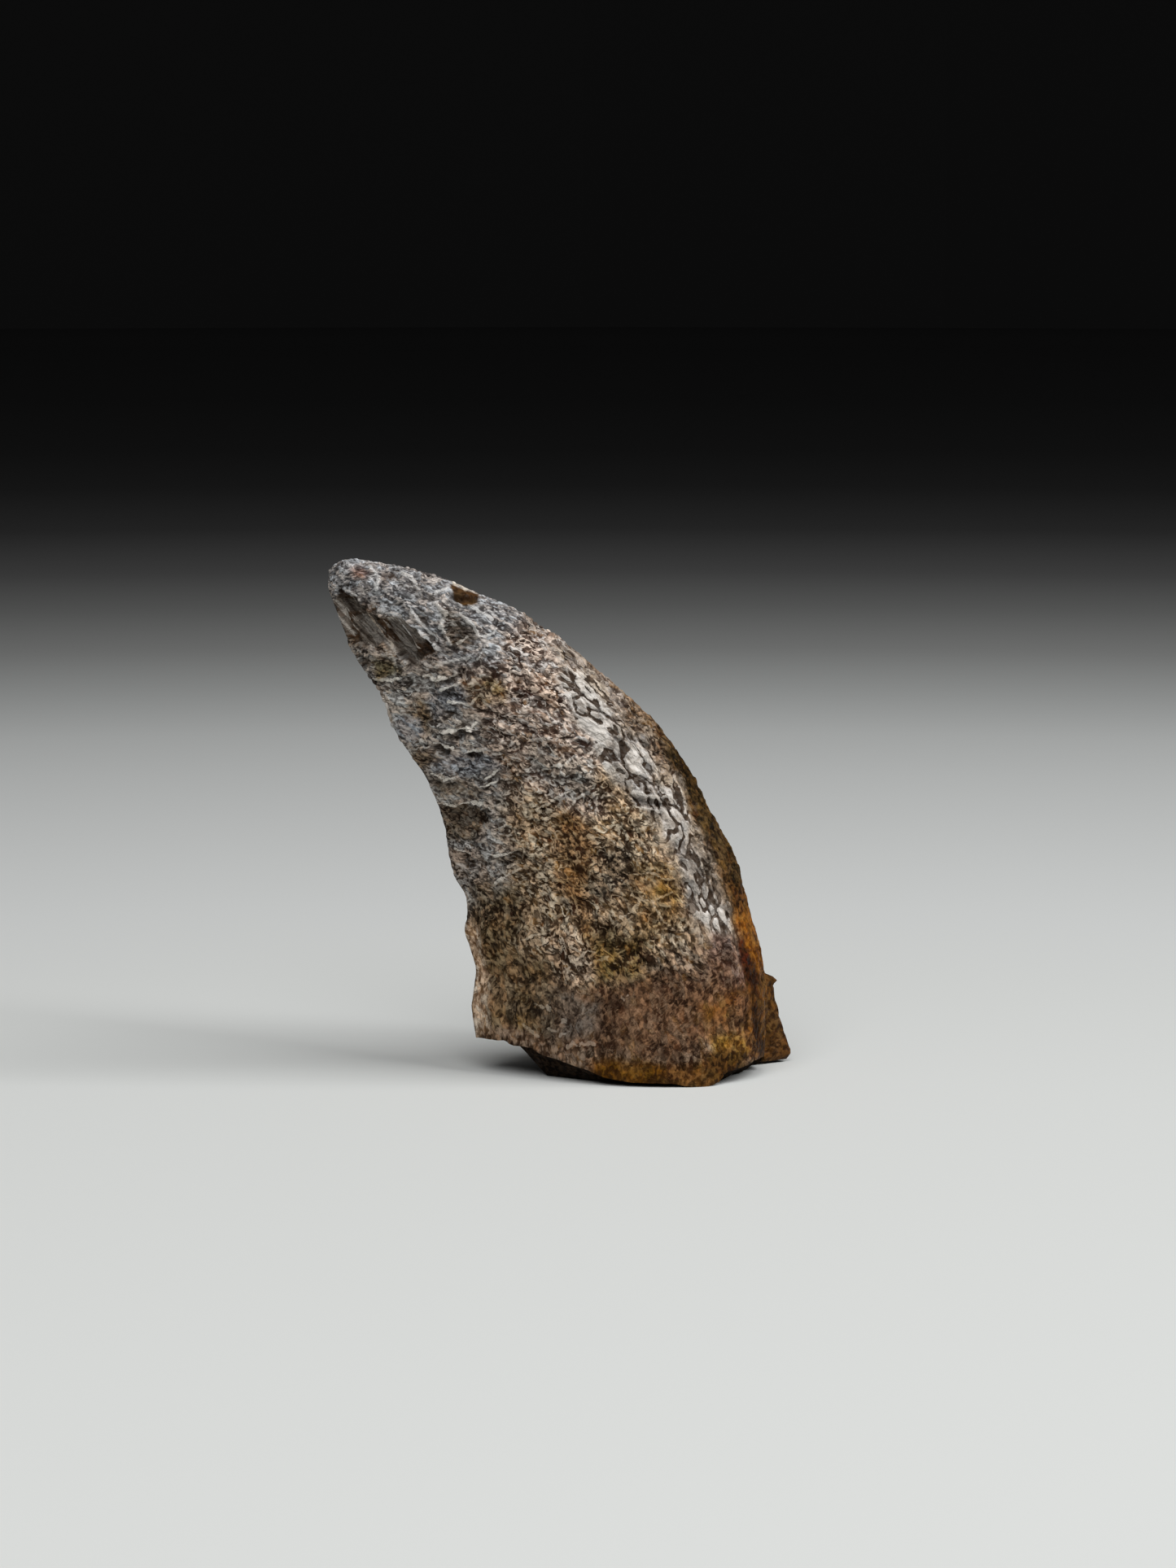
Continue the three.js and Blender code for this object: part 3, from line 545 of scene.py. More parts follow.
FOLDS = (
    Fold(((-7.66, 24.25), (-7.25, 23.56), (-6.71, 23.04), (-6.3, 22.54)), 0.06, 0.09, 0.06),
    Fold(((-6.3, 24.46), (-5.81, 23.97), (-6.01, 23.24), (-5.68, 22.55)), 0.1, 0.1, 0.06),
    Fold(((-5.07, 23.97), (-4.45, 23.38), (-4.03, 22.79)), 0.06, 0.07, 0.05),
    Fold(((-8.0, 25.89), (-7.57, 25.73), (-7.14, 25.17)), 0.07, 0.07, 0.05),
    Fold(((-9.64, 26.13), (-9.12, 25.65), (-9.32, 25.17)), 0.08, 0.07, 0.05),
    Fold(((-5.63, 25.2), (-5.8, 25.11), (-6.3, 24.9)), 0.06, 0.05, 0.05),
    Fold(((-4.67, 24.42), (-4.04, 23.97), (-3.46, 23.65)), 0.05, 0.05, 0.04),
    Fold(((-3.82, 22.79), (-3.42, 22.98), (-3.13, 23.25)), 0.06, 0.06, 0.05),
    Fold(((-11.53, 25.06), (-10.75, 24.96), (-10.3, 24.66)), 0.04, 0.04, 0.0),
    Fold(((-9.3, 23.8), (-8.6, 23.9), (-8.2, 23.8)), 0.035, 0.03, 0.0),
    Fold(((-7.3, 23.2), (-6.76, 22.71), (-6.23, 22.0)), 0.035, 0.04, 0.0),
    Fold(((-10.04, 23.84), (-9.04, 22.49), (-8.4, 21.8)), 0.03, 0.05, 0.0),
    Fold(((-8.35, 23.5), (-7.28, 21.92)), 0.025, 0.05, 0.0),
    Fold(((-7.13, 22.99), (-6.51, 22.33), (-5.65, 21.6)), 0.03, 0.07, 0.05),
    Fold(((-6.23, 21.25), (-5.56, 21.48), (-4.65, 21.68)), 0.079, 0.1, 0.08),
    Fold(((-6.94, 20.69), (-6.32, 20.59), (-5.65, 20.66), (-5.02, 20.93)), 0.054, 0.1, 0.14),
    Fold(((-6.03, 20.04), (-5.15, 20.38)), 0.05, dip=0.12),
    Fold(((-9.49, 20.4), (-8.85, 20.4), (-8.17, 20.44)), 0.05, 0.07),
    Fold(((-5.66, 19.45), (-4.66, 19.27), (-4.08, 19.83)), 0.043, 0.09, 0.12),
    Fold(((-5.93, 17.76), (-5.25, 17.97), (-4.59, 18.04), (-4.21, 18.41)), 0.061, 0.14, 0.05),
    Fold(((-6.44, 17.21), (-5.94, 17.14), (-5.43, 16.98)), 0.043, 0.12, 0.05),
    Fold(((-4.77, 16.78), (-4.35, 16.95), (-3.85, 16.87)), 0.05, 0.12, 0.05),
    Fold(((-6.59, 15.57), (-5.83, 15.33), (-5.24, 15.41)), 0.036, dip=0.12),
    Fold(((-5.98, 14.0), (-5.34, 13.94), (-4.33, 14.23), (-3.83, 14.18), (-3.49, 13.83)), 0.043, 0.12,
         0.12),
    Fold(((-3.82, 15.47), (-3.06, 15.98)), 0.04),
    Fold(((-1.16, 14.07), (-0.5, 14.43), (0.16, 14.88), (0.62, 15.11)), 0.054, 0.11, 0.12),
    Fold(((-0.87, 13.56), (-0.33, 13.74), (0.16, 13.98), (1.15, 14.92)), 0.058, 0.09),
    Fold(((-0.95, 16.09), (-0.29, 16.32), (0.29, 16.47), (0.7, 16.85), (0.99, 16.65)), 0.043, dip=0.08),
    Fold(((-2.96, 18.75), (-1.85, 18.87), (-1.36, 18.63), (-1.03, 17.77), (-0.04, 16.74)), 0.029, 0.06,
         0.03),
    Fold(((-3.33, 11.43), (-2.66, 11.65), (-1.95, 11.91)), 0.043, 0.09, 0.12),
    Fold(((-5.36, 11.71), (-4.6, 11.44)), 0.043, dip=0.08),
    Fold(((-3.34, 10.01), (-2.67, 10.54), (-2.0, 10.93)), 0.047, 0.09),
    Fold(((3.6, 14.98), (4.3, 14.86), (5.0, 14.66), (5.6, 14.78), (5.85, 14.4)), 0.06, dip=0.0),
    Fold(((3.7, 14.36), (4.4, 14.14), (5.2, 14.04), (5.5, 13.7)), 0.055, 0.07, 0.0),
    Fold(((3.57, 9.85), (4.07, 9.62), (3.66, 9.04), (3.04, 8.69)), 0.043, dip=0.04),
    Fold(((4.19, 9.63), (4.85, 9.46), (5.51, 9.28)), 0.043, dip=0.06),
    Fold(((3.66, 10.88), (4.6, 11.02), (5.3, 10.6), (5.79, 10.67)), 0.04, dip=0.06),
    Fold(((2.34, 12.83), (3.29, 12.11), (4.07, 11.25)), 0.032, 0.06, 0.04),
    Fold(((0.49, 7.22), (1.11, 6.75), (1.31, 6.2), (2.34, 6.61), (3.04, 6.14)), 0.04, 0.07, 0.05),
    Fold(((-0.78, 2.62), (-0.45, 2.72), (-0.15, 2.6)), 0.055, 0.07, 0.06),
    Fold(((-0.02, 2.35), (0.25, 2.6), (0.5, 2.68)), 0.055, 0.07, 0.06),
    Fold(((-1.3, 3.9), (-0.95, 3.8), (-0.55, 3.65)), 0.055, 0.07, 0.06),
    Fold(((-0.8, 4.05), (-0.4, 3.6), (-0.05, 3.55)), 0.045, 0.07, 0.06),
    Fold(((0.05, 3.12), (0.3, 3.32)), 0.055, 0.06, 0.05),
    Fold(((-1.95, 2.8), (-1.55, 2.5), (-1.2, 2.3)), 0.09, 0.1, 0.05),
    Fold(((0.28, 1.88), (0.62, 2.06), (1.02, 1.98), (1.4, 2.16), (1.81, 2.12)), 0.065, dip=0.06),
    Fold(((3.05, 4.72), (3.25, 4.5), (3.45, 4.75)), 0.045, 0.05, 0.04),
    Fold(((-1.92, 7.22), (-1.3, 7.5), (-0.67, 7.72)), 0.05, 0.07, 0.06),
    Fold(((-4.07, 15.05), (-3.15, 15.39)), 0.036, 0.07),
    Fold(((-5.19, 22.45), (-4.65, 22.78)), 0.05, 0.06, 0.0),
    Fold(((-4.23, 21.58), (-3.95, 22.06), (-3.62, 21.82)), 0.043, 0.07, 0.04),
    Fold(((-3.45, 20.2), (-3.12, 20.54)), 0.05, 0.07, 0.04),
    Fold(((2.96, 10.75), (3.7, 9.85), (4.6, 9.55), (5.67, 10.01)), 0.035, 0.05, 0.03),
    Fold(((4.68, 9.47), (5.1, 8.71), (5.67, 8.12)), 0.035, 0.05, 0.03),
    Fold(((3.04, 8.65), (3.86, 9.09), (4.19, 9.87)), 0.035, 0.05, 0.03),
    Fold(((0.73, 6.38), (1.4, 6.93), (2.3, 6.56), (2.88, 7.33)), 0.035, 0.05, 0.03),
    Fold(((-9.0, 21.2), (-7.6, 20.9), (-6.2, 21.3)), 0.05, 0.1, 0.12, face=Face.INNER),
    Fold(((-7.6, 19.2), (-6.2, 19.0), (-5.0, 19.5)), 0.043, 0.1, 0.12, face=Face.INNER),
    Fold(((-6.9, 17.6), (-5.8, 17.3), (-4.9, 17.6), (-4.2, 17.4)), 0.05, 0.11, 0.12, face=Face.INNER),
    Fold(((-6.2, 15.3), (-5.0, 15.5), (-3.9, 15.2)), 0.043, 0.1, 0.12, face=Face.INNER),
    Fold(((-5.4, 12.8), (-4.2, 12.6), (-3.1, 13.0)), 0.043, 0.1, 0.12, face=Face.INNER),
    Fold(((-4.9, 10.6), (-3.6, 10.9)), 0.043, 0.09, face=Face.INNER),
    Fold(((-1.2, 15.8), (0.3, 16.3), (1.4, 16.1)), 0.043, 0.09, face=Face.INNER),
    Fold(((0.6, 9.6), (2.0, 9.9), (2.9, 9.5)), 0.043, dip=0.08, face=Face.INNER),
    Fold(((-2.6, 7.0), (-1.2, 7.4), (0.4, 7.1)), 0.043, dip=0.08, face=Face.INNER),
)

# What the mesh carries of the zones, and the attributes that are 0 all over the fracture.
RELIEFS = ("rough", "plates", "ripple", "stria", "fleck", "ochre", "vein", "grit")
STAINS = ("tone", "deep", "pale")
NOT_BELOW = ("seat", "plates", "ripple", "stria", "lip", "edge")


@dataclass(frozen=True)
class Spots:
    """Points round the blade: share of the face, share across from the distal edge, and the face's sign."""

    share: Array
    across: Array
    sign: Array

    def over(self, shape: tuple[int, ...]) -> "Spots":
        """Repeats one ring's spots for every ring."""
        return Spots(*(np.broadcast_to(v, shape) for v in (self.share, self.across, self.sign)))

    def on_face(self) -> dict[Face, Array]:
        """A mask of each face."""
        outer = np.where(self.sign < 0, 1.0, 0.0)
        return {Face.OUTER: outer, Face.INNER: 1.0 - outer}


@dataclass
class BladeForm:
    """The tooth's form: a grid of ribs between the two edges, closed below by the fracture.

    Sizes are in millimetres, and `up` is the share of the way up the mesial edge. A pair of numbers is the
    stretch over which something eases in.
    """

    mesial: EdgeLine = EdgeLine((
        (10.5, -1.4), (10.65, 1.2), (10.8, 3.0), (10.8, 4.5), (10.5, 6.4), (10.0, 7.9), (9.6, 9.4),
        (9.15, 11.0), (8.3, 12.9), (7.35, 14.6), (6.3, 16.4), (5.1, 18.0), (3.85, 19.3), (2.4, 20.6),
        (0.92, 21.82), (-0.8, 22.98), (-2.35, 23.92), (-4.0, 24.72), (-5.85, 25.5), (-7.85, 26.1),
        (-9.7, 26.35), (-10.9, 26.4), (-11.6, 25.9),
    ))
    distal: EdgeLine = EdgeLine((
        (-4.1, -1.4), (-4.2, 0.4), (-4.2, 1.8), (-4.4, 3.3), (-4.25, 4.6), (-4.2, 5.4), (-4.5, 6.5),
        (-4.75, 7.4), (-4.6, 8.4), (-4.7, 9.2), (-5.2, 10.1), (-5.5, 11.1), (-5.65, 12.2), (-6.0, 13.6),
        (-6.7, 15.3), (-7.65, 16.7), (-8.35, 17.9), (-8.7, 19.0), (-9.2, 20.0), (-9.9, 20.9),
        (-10.45, 21.8), (-10.8, 22.7), (-11.3, 24.0), (-11.65, 25.0), (-11.6, 25.9),
    ))
    rib_pairs: tuple[Point, ...] = (
        (0.0, 0.0), (0.13, 0.2), (0.29, 0.4), (0.52, 0.6), (0.72, 0.78), (0.87, 0.9), (0.94, 0.96),
        (1.0, 1.0),
    )
    half_thickness: tuple[Point, ...] = (
        (0.0, 4.15), (0.2, 4.0), (0.4, 3.6), (0.6, 2.9), (0.76, 2.2), (0.88, 1.55), (0.95, 1.05),
        (0.985, 0.6), (1.0, 0.0),
    )
    distal_half_width: tuple[Point, ...] = (
        (0.0, 0.5), (0.15, 0.45), (0.35, 0.2), (0.6, 0.1), (0.95, 0.1), (1.0, 0.0),
    )
    distal_rounding: Point = (0.0, 0.05)
    outer_section: Section = Section(1.05, 0.5)
    inner_section: Section = Section(0.95, 0.55)
    tip_lean: float = 0.6
    outer_break: tuple[Point, ...] = (
        (-4.3, 1.75), (-2.7, 1.85), (-2.3, 1.63), (-1.8, 1.67), (-1.3, 1.58), (-0.8, 1.32), (0.6, 1.0),
        (2.0, 0.58), (2.6, 0.39), (3.9, 0.22), (5.9, 0.2), (6.5, 0.08), (7.1, 0.0), (7.8, 0.0), (8.3, 0.2),
        (8.65, 0.62), (9.6, 0.8), (10.1, 0.97), (10.8, 0.9),
    )
    inner_break: tuple[Point, ...] = (
        (-4.3, 1.75), (-2.5, 1.7), (-1.0, 1.3), (0.3, 0.8), (1.2, 0.3), (2.2, 0.0), (4.2, 0.0), (5.5, 0.35),
        (7.5, 0.5), (9.0, 0.2), (10.0, 0.15), (10.5, 0.35), (10.8, 0.9),
    )
    break_below: float = 0.3
    break_halvings: int = 30
    foot_left: float = -0.5
    foot_climb: float = 0.95
    foot_settling: Point = (3.0, 4.5)
    foot_roughness: float = 0.4
    foot_grain: float = 1.5
    foot_seed: int = 7
    foot_bevel: float = 0.26
    flange_reach: tuple[Point, ...] = (
        (0.0, 1.15), (0.15, 1.35), (0.4, 1.55), (0.7, 1.55), (1.25, 1.35), (1.9, 1.08), (2.5, 0.84),
        (3.3, 0.5), (4.0, 0.4), (4.22, 0.46), (4.36, 0.68), (4.5, 0.2), (4.8, 0.08), (5.2, 0.0),
    )
    flange_y: float = 2.5
    flange_half_width: float = 1.3
    flange_across: Point = (0.72, 0.86)
    flange_top: float = 5.2
    flange_fade: Point = (0.0, 0.6)
    swell_depth: float = 0.1
    swell_size: float = 2.6
    swell_edge: Point = (0.0, 0.12)
    swell_tip: Point = (0.0, 0.05)
    mark_fade: Point = (0.0, 0.02)
    lip_fade: Point = (0.0, 0.02)
    columns: int = 270
    outer_share: float = 0.6
    rings: int = 316
    crowding: float = 0.87
    underside_rings: int = 24
    axis_length: float = 30.0
    denticle_pitch: float = 0.35
    mesial_denticles: tuple[Point, ...] = ((0.7, 0.79), (0.835, 0.93))
    distal_denticles: tuple[Point, ...] = ((0.7, 0.815),)
    stir: float = 0.09
    stir_size: float = 0.45
    stir_seeds: Point = (0.0, 5.0)
    outside: float = -1.0
    far: float = 3.0
    hollow_lip: float = -0.03
    hollow_shade_lip: float = -0.05
    hollow_shade_ledge: float = 0.5
    fold_flank: Point = (0.3, 2.0)
    dip_start: Point = (0.03, 0.12)
    dip_end: Point = (0.14, 0.5)
    dip_shade: float = 4.0
    sway: float = 1.3
    sway_size: float = 1.8
    sway_seeds: Point = (3.0, 8.0)
    patch_size: float = 0.9
    patch_seeds: Point = (20.0, 3.0)
    patch_edge: Point = (-0.3, 0.4)
    edge_bias: float = 0.015
    centring: Point = (-0.17, -0.014)
    attributes: dict[str, Array] = field(default_factory=dict)

    def spots(self) -> Spots:
        """One ring's spots. The column on the mesial edge counts as the outer face's last."""
        outer = round(self.columns * self.outer_share)
        inner = self.columns - outer
        share = np.concatenate([np.arange(outer) / outer, 1.0 - np.arange(inner) / inner])
        sign = np.where(np.arange(self.columns) <= outer, -1.0, 1.0)
        return Spots(share, np.sin(np.pi / 2.0 * share), sign)

    def chord(self, up: Array) -> tuple[Array, Array, Array, Array]:
        """The x and z of each rib's distal end, and how far on its mesial end is in x and z."""
        mesial_x, mesial_z = self.mesial.at(up)
        distal_x, distal_z = self.distal.at(along(self.rib_pairs, up))
        return distal_x, distal_z, mesial_x - distal_x, mesial_z - distal_z

    def point(self, up: Array, at: Spots) -> Array:
        """Points of the smooth blade.

        Args:
            up: Shares of the way up.
            at: Where they stand round the section.

        Returns:
            The points, with x, y and z last.
        """
        distal_x, distal_z, run, climb = self.chord(up)
        section = np.where(at.sign < 0, self.outer_section.at(at.across), self.inner_section.at(at.across))
        edge = along(self.distal_half_width, up) * smooth(at.share, *self.distal_rounding)
        half = along(self.half_thickness, up) * section + edge * (1.0 - at.across)
        y = at.sign * half + self.tip_lean * up**3
        return np.stack([distal_x + run * at.across, y, distal_z + climb * at.across], axis=-1)

    def break_share(self, at: Spots) -> Array:
        """Finds the share of the way up at which the break crosses each column of a ring, by halving."""
        low, high = np.zeros(self.columns), np.full(self.columns, self.break_below)
        for _ in range(self.break_halvings):
            middle = (low + high) / 2.0
            point = self.point(middle, at)
            outer, inner = along(self.outer_break, point[:, 0]), along(self.inner_break, point[:, 0])
            under = point[:, 2] < np.where(at.sign < 0, outer, inner)
            low, high = np.where(under, middle, low), np.where(under, high, middle)
        return low

    def add_flange(self, points: Array, up: Array, across: Array) -> None:
        """Pulls out the broken flange at the mesial foot.

        Args:
            points: The smooth grid, which is changed.
            up: Each point's share of the way up.
            across: Each point's share across.
        """
        x, y, z = (points[..., axis] for axis in range(3))
        nearness = np.maximum(0.0, 1.0 - np.abs(y - self.flange_y) / self.flange_half_width)
        end = self.mesial.at(up)[0] + along(self.flange_reach, z)
        reach = smooth(nearness, 0.0, 1.0) * smooth(across, *self.flange_across)
        reach = reach * smooth(self.flange_top - z, *self.flange_fade)
        points[..., 0] = x + (end - x) * reach

    def marks(self, x: Array, z: Array, on_face: dict[Face, Array]) -> Array:
        """Raises the folds and sinks the hollows of both faces, and keeps masks of them, with the painted
        shade of the hollows and the fold dips.

        Args:
            x: Places across.
            z: Places up.
            on_face: Each face's mask.

        Returns:
            How far each place stands out.
        """
        bent = [v + self.stir * drift(x, z, self.stir_size, s) for v, s in zip((x, z), self.stir_seeds)]
        sunk, raised, dark = np.zeros_like(x), np.zeros_like(x), np.zeros_like(x)
        flake, fold = np.full_like(x, self.outside), np.full_like(x, self.far)
        for mark in HOLLOWS:
            inside = Path(mark.outline, closed=True).inside(*bent)
            inside = np.where(on_face[mark.face] > 0.5, inside, self.outside)
            sunk = np.maximum(sunk, mark.depth * smooth(inside, self.hollow_lip, mark.ledge))
            if mark.flake:
                flake = np.maximum(flake, inside)
            else:
                # the hollow's painted shade
                shaded = smooth(inside, self.hollow_shade_lip, self.hollow_shade_ledge * mark.ledge)
                dark = np.maximum(dark, mark.dark * shaded)
        for mark in FOLDS:
            reach, side = Path(mark.points).measure(*bent)
            reach = np.where(on_face[mark.face] > 0.5, reach, self.far)
            ratio = reach / mark.half_width
            raised = np.maximum(raised, mark.height * (1.0 - smooth(ratio, *self.fold_flank)))
            dip = mark.dip * smooth(reach, *self.dip_start) * (1.0 - smooth(reach, *self.dip_end))
            dip = np.where(side < 0.0, dip, 0.0)
            raised = raised - dip
            # painted shade in the dip under the fold
            dark = np.maximum(dark, self.dip_shade * dip)
            fold = np.minimum(fold, ratio)
        # dark is the painted shade of the hollows and the fold dips
        self.attributes.update({"flake": flake, "dark": np.minimum(dark, 1.0), "fold": fold})
        return raised - sunk

    def stain(self, x: Array, z: Array, on_face: dict[Face, Array]) -> None:
        """Blends the zones' stains and reliefs into one value of each kind for every point.

        Args:
            x: Places across.
            z: Places up.
            on_face: Each face's mask.
        """
        layers = {name: np.full(x.shape, getattr(BODY, name)) for name in RELIEFS}
        layers |= {name: np.ones(x.shape + (3,)) * linear(getattr(BODY, name)) for name in STAINS}
        sway = [self.sway * drift(x, z, self.sway_size, seed) for seed in self.sway_seeds]
        for number, zone in enumerate(ZONES):
            swayed = [v + zone.soft * s for v, s in zip((x, z), sway)]
            weight = smooth(Path(zone.outline, closed=True).inside(*swayed), -zone.soft, zone.soft)
            weight = weight * sum(on_face[face] for face in zone.faces)
            patches = drift(x, z, self.patch_size, self.patch_seeds[0] + self.patch_seeds[1] * number)
            weight = weight * (1.0 - zone.patchy * smooth(patches, *self.patch_edge))
            LOG.debug("%s covers %.1f%% of the grid", zone.name, 100.0 * weight.mean())
            for name, layer in layers.items():
                value, share = getattr(zone, name), weight
                if name in STAINS:
                    value, share = linear(value), weight[..., None]
                layers[name] = layer + (value - layer) * share
        self.attributes.update(layers)

    def underside(self, x: Array, y: Array) -> Array:
        """Height of the fracture under each point of the base."""
        climb = np.maximum(0.0, self.foot_left - x) * self.foot_climb
        grain = Lattice.at(x / self.foot_grain, y / self.foot_grain, x * 0 + self.foot_seed)
        hollow = self.foot_roughness * np.maximum(0.0, grain)
        return climb + hollow * smooth(x, *self.foot_settling)

    def denticle_seats(self, up: Array) -> Array:
        """Picks the grid point of each denticle.

        Args:
            up: Each point's share of the way up, ring by column.

        Returns:
            1 for each point that carries a denticle, else 0.
        """
        seats = np.zeros(up.shape)
        middle = round(self.columns * self.outer_share)
        runs = ((middle, self.mesial, self.mesial_denticles), (0, self.distal, self.distal_denticles))
        for column, edge, spans in runs:
            length = edge.length()
            share = up[:, column] if column else along(self.rib_pairs, up[:, column])
            for low, high in spans:
                for step in range(int((high - low) * length / self.denticle_pitch)):
                    place = low + step * self.denticle_pitch / length
                    seats[np.argmin(np.abs(share - place)), column] = 1.0
        return seats

    def build(self, name: str) -> bpy.types.Object:
        """Builds the grid as a mesh with its attributes, before the fine relief.

        Args:
            name: The object's name.

        Returns:
            The object, at the origin, in metres.
        """
        ring = self.spots()
        starts = self.break_share(ring)[None, :]
        up = starts + (1.0 - starts) * ((np.arange(self.rings) / self.rings) ** self.crowding)[:, None]
        at = ring.over(up.shape)
        grid = self.point(up, at)
        self.add_flange(grid, up, at.across)
        x, y, z = (grid[..., axis] for axis in range(3))
        settled_x = x + self.centring[0]

        swell = self.swell_depth * Lattice.at(*(v / self.swell_size for v in (x, y, z)))
        out = swell * smooth(at.across, *self.swell_edge) * smooth(1.0 - up, *self.swell_tip)
        fade = smooth(1.0 - up, *self.mark_fade) * smooth(at.across, *self.mark_fade)
        out = out + self.marks(settled_x, z, at.on_face()) * fade
        self.stain(settled_x, z, at.on_face())
        run, climb = self.chord(up)[2:]
        flow = [(at.across - 0.5) * np.hypot(run, climb), y, up * self.axis_length]
        self.attributes["flow"] = np.stack(flow, axis=-1)
        self.attributes["lip"] = smooth(up - starts, *self.lip_fade)
        self.attributes["edge"] = np.minimum(at.share, 1.0 - at.share + self.edge_bias)
        self.attributes["seat"] = self.denticle_seats(up)
        return self.to_object(name, grid + self.normals(grid) * out[..., None])

    @staticmethod
    def normals(grid: Array) -> Array:
        """The outward normal at each point of the grid."""
        around = np.roll(grid, -1, axis=1) - np.roll(grid, 1, axis=1)
        normal = np.cross(around, np.gradient(grid, axis=0))
        return normal / np.linalg.norm(normal, axis=-1, keepdims=True)

    def fracture(self, rim: Array, inward: Array) -> tuple[Array, Array]:
        """Closes the base with rings that run in from the rim.

        Args:
            rim: The lowest ring of the blade.
            inward: Each ring's share of the way to the middle.

        Returns:
            The rings' points, and the point in the middle.
        """
        middle = rim.mean(axis=0)
        floor = rim[None] + (middle - rim)[None] * inward[:, None, None]
        under = self.underside(floor[..., 0], floor[..., 1])
        share = smooth(inward, 0.0, self.foot_bevel)[:, None]
        floor[..., 2] = rim[None, :, 2] + (under - rim[None, :, 2]) * share
        middle[2] = self.underside(middle[:1], middle[1:2])[0]
        return floor, middle[None]

    def faces(self) -> list[tuple[int, ...]]:
        """Joins the rings, the tip and the base.

        Returns:
            Each face's points, by number.
        """
        sides = [(c, (c + 1) % self.columns) for c in range(self.columns)]
        blade = [ring * self.columns for ring in range(self.rings)]
        tip = self.rings * self.columns
        base = [0] + [tip + 1 + ring * self.columns for ring in range(self.underside_rings - 1)]
        heart = base[-1] + self.columns
        made: list[tuple[int, ...]] = []
        for low, high in zip(blade, blade[1:]):
            made += [(low + c, low + n, high + n, high + c) for c, n in sides]
        made += [(blade[-1] + c, blade[-1] + n, tip) for c, n in sides]
        for outer, inner in zip(base, base[1:]):
            made += [(inner + c, inner + n, outer + n, outer + c) for c, n in sides]
        made += [(base[-1] + n, base[-1] + c, heart) for c, n in sides]
        return made

    def to_object(self, name: str, grid: Array) -> bpy.types.Object:
        """Closes the grid at the tip and below, and makes it an object.

        Args:
            name: The object's name.
            grid: The blade's points, ring by column.

        Returns:
            The object with every attribute on its points.
        """
        grid[0, :, 2] = np.maximum(grid[0, :, 2], 0.0)
        inward = np.arange(1, self.underside_rings) / self.underside_rings
        floor, heart = self.fracture(grid[0], inward)
        tip = self.point(np.ones(1), Spots(np.zeros(1), np.zeros(1), np.ones(1)))
        points = np.concatenate([grid.reshape(-1, 3), tip, floor.reshape(-1, 3), heart])
        points[:, 2] = np.maximum(points[:, 2], 0.0)
        points[:, :2] += self.centring

        mesh = bpy.data.meshes.new(name)
        mesh.from_pydata((points * MM).tolist(), [], self.faces())
        mesh.polygons.foreach_set("use_smooth", [True] * len(mesh.polygons))
        for key, values in self.attributes.items():
            self.write(mesh, key, self.carried(key, values, floor))
        on_blade = np.zeros(self.rings * self.columns + 1)
        self.write(mesh, "below", np.concatenate([on_blade, np.repeat(inward, self.columns), [1.0]]))
        made = bpy.data.objects.new(name, mesh)
        bpy.context.scene.collection.objects.link(made)
        return made

    def carried(self, key: str, values: Array, floor: Array) -> Array:
        """Carries an attribute of the blade on over the tip and the fracture.

        Args:
            key: The attribute's name.
            values: One value, or three, for each point of the blade.
            floor: The points of the fracture's rings.

        Returns:
            The values for every point of the mesh.
        """
        tail = values.shape[2:]
        if key == "flow":
            under = floor.reshape(-1, 3)
            end = under[-1:]
        elif key in NOT_BELOW:
            under = np.zeros((floor.shape[0] * self.columns,) + tail)
            end = under[:1]
        else:
            under = np.concatenate([values[0]] * floor.shape[0])
            end = values[0][:1]
        return np.concatenate([values.reshape((-1,) + tail), values[-1][:1], under, end])

    @staticmethod
    def write(mesh: bpy.types.Mesh, key: str, values: Array) -> None:
        """Stores one named attribute on the mesh's points."""
        kind, slot = ("FLOAT_VECTOR", "vector") if values.ndim == 2 else ("FLOAT", "value")
        layer = mesh.attributes.new(key, kind, "POINT")
        layer.data.foreach_set(slot, values.astype(np.float32).ravel())


Socket = bpy.types.NodeSocket
Value = float | Socket


@dataclass(frozen=True)
class Ramp:
    """A smooth step from `start` at `low` to `end` at `high`."""

    low: float
    high: float
    start: float = 0.0
    end: float = 1.0


@dataclass(frozen=True)
class Grain:
    """A fractal noise: features to the millimetre, octaves, and each octave's share of the one before."""

    scale: float
    octaves: float = 2.0
    share: float = 0.5


@dataclass(frozen=True)
class Lay:
    """How a texture lies on the faces: its turn in degrees, and its squeeze along each turned axis."""

    degrees: float
    squeeze: Triple


@dataclass(frozen=True)
class Patches:
    """Where something shows: a noise, moved by `offset` to tell it from others, and how it is read."""

    grain: Grain
    step: Ramp
    offset: Triple = (0.0, 0.0, 0.0)


@dataclass(frozen=True)
class Contours:
    """The contour lines of a noise: how many to the unit, and how a line fades to each side."""

    grain: Grain
    levels: float
    fade: Ramp
    offset: Triple = (0.0, 0.0, 0.0)


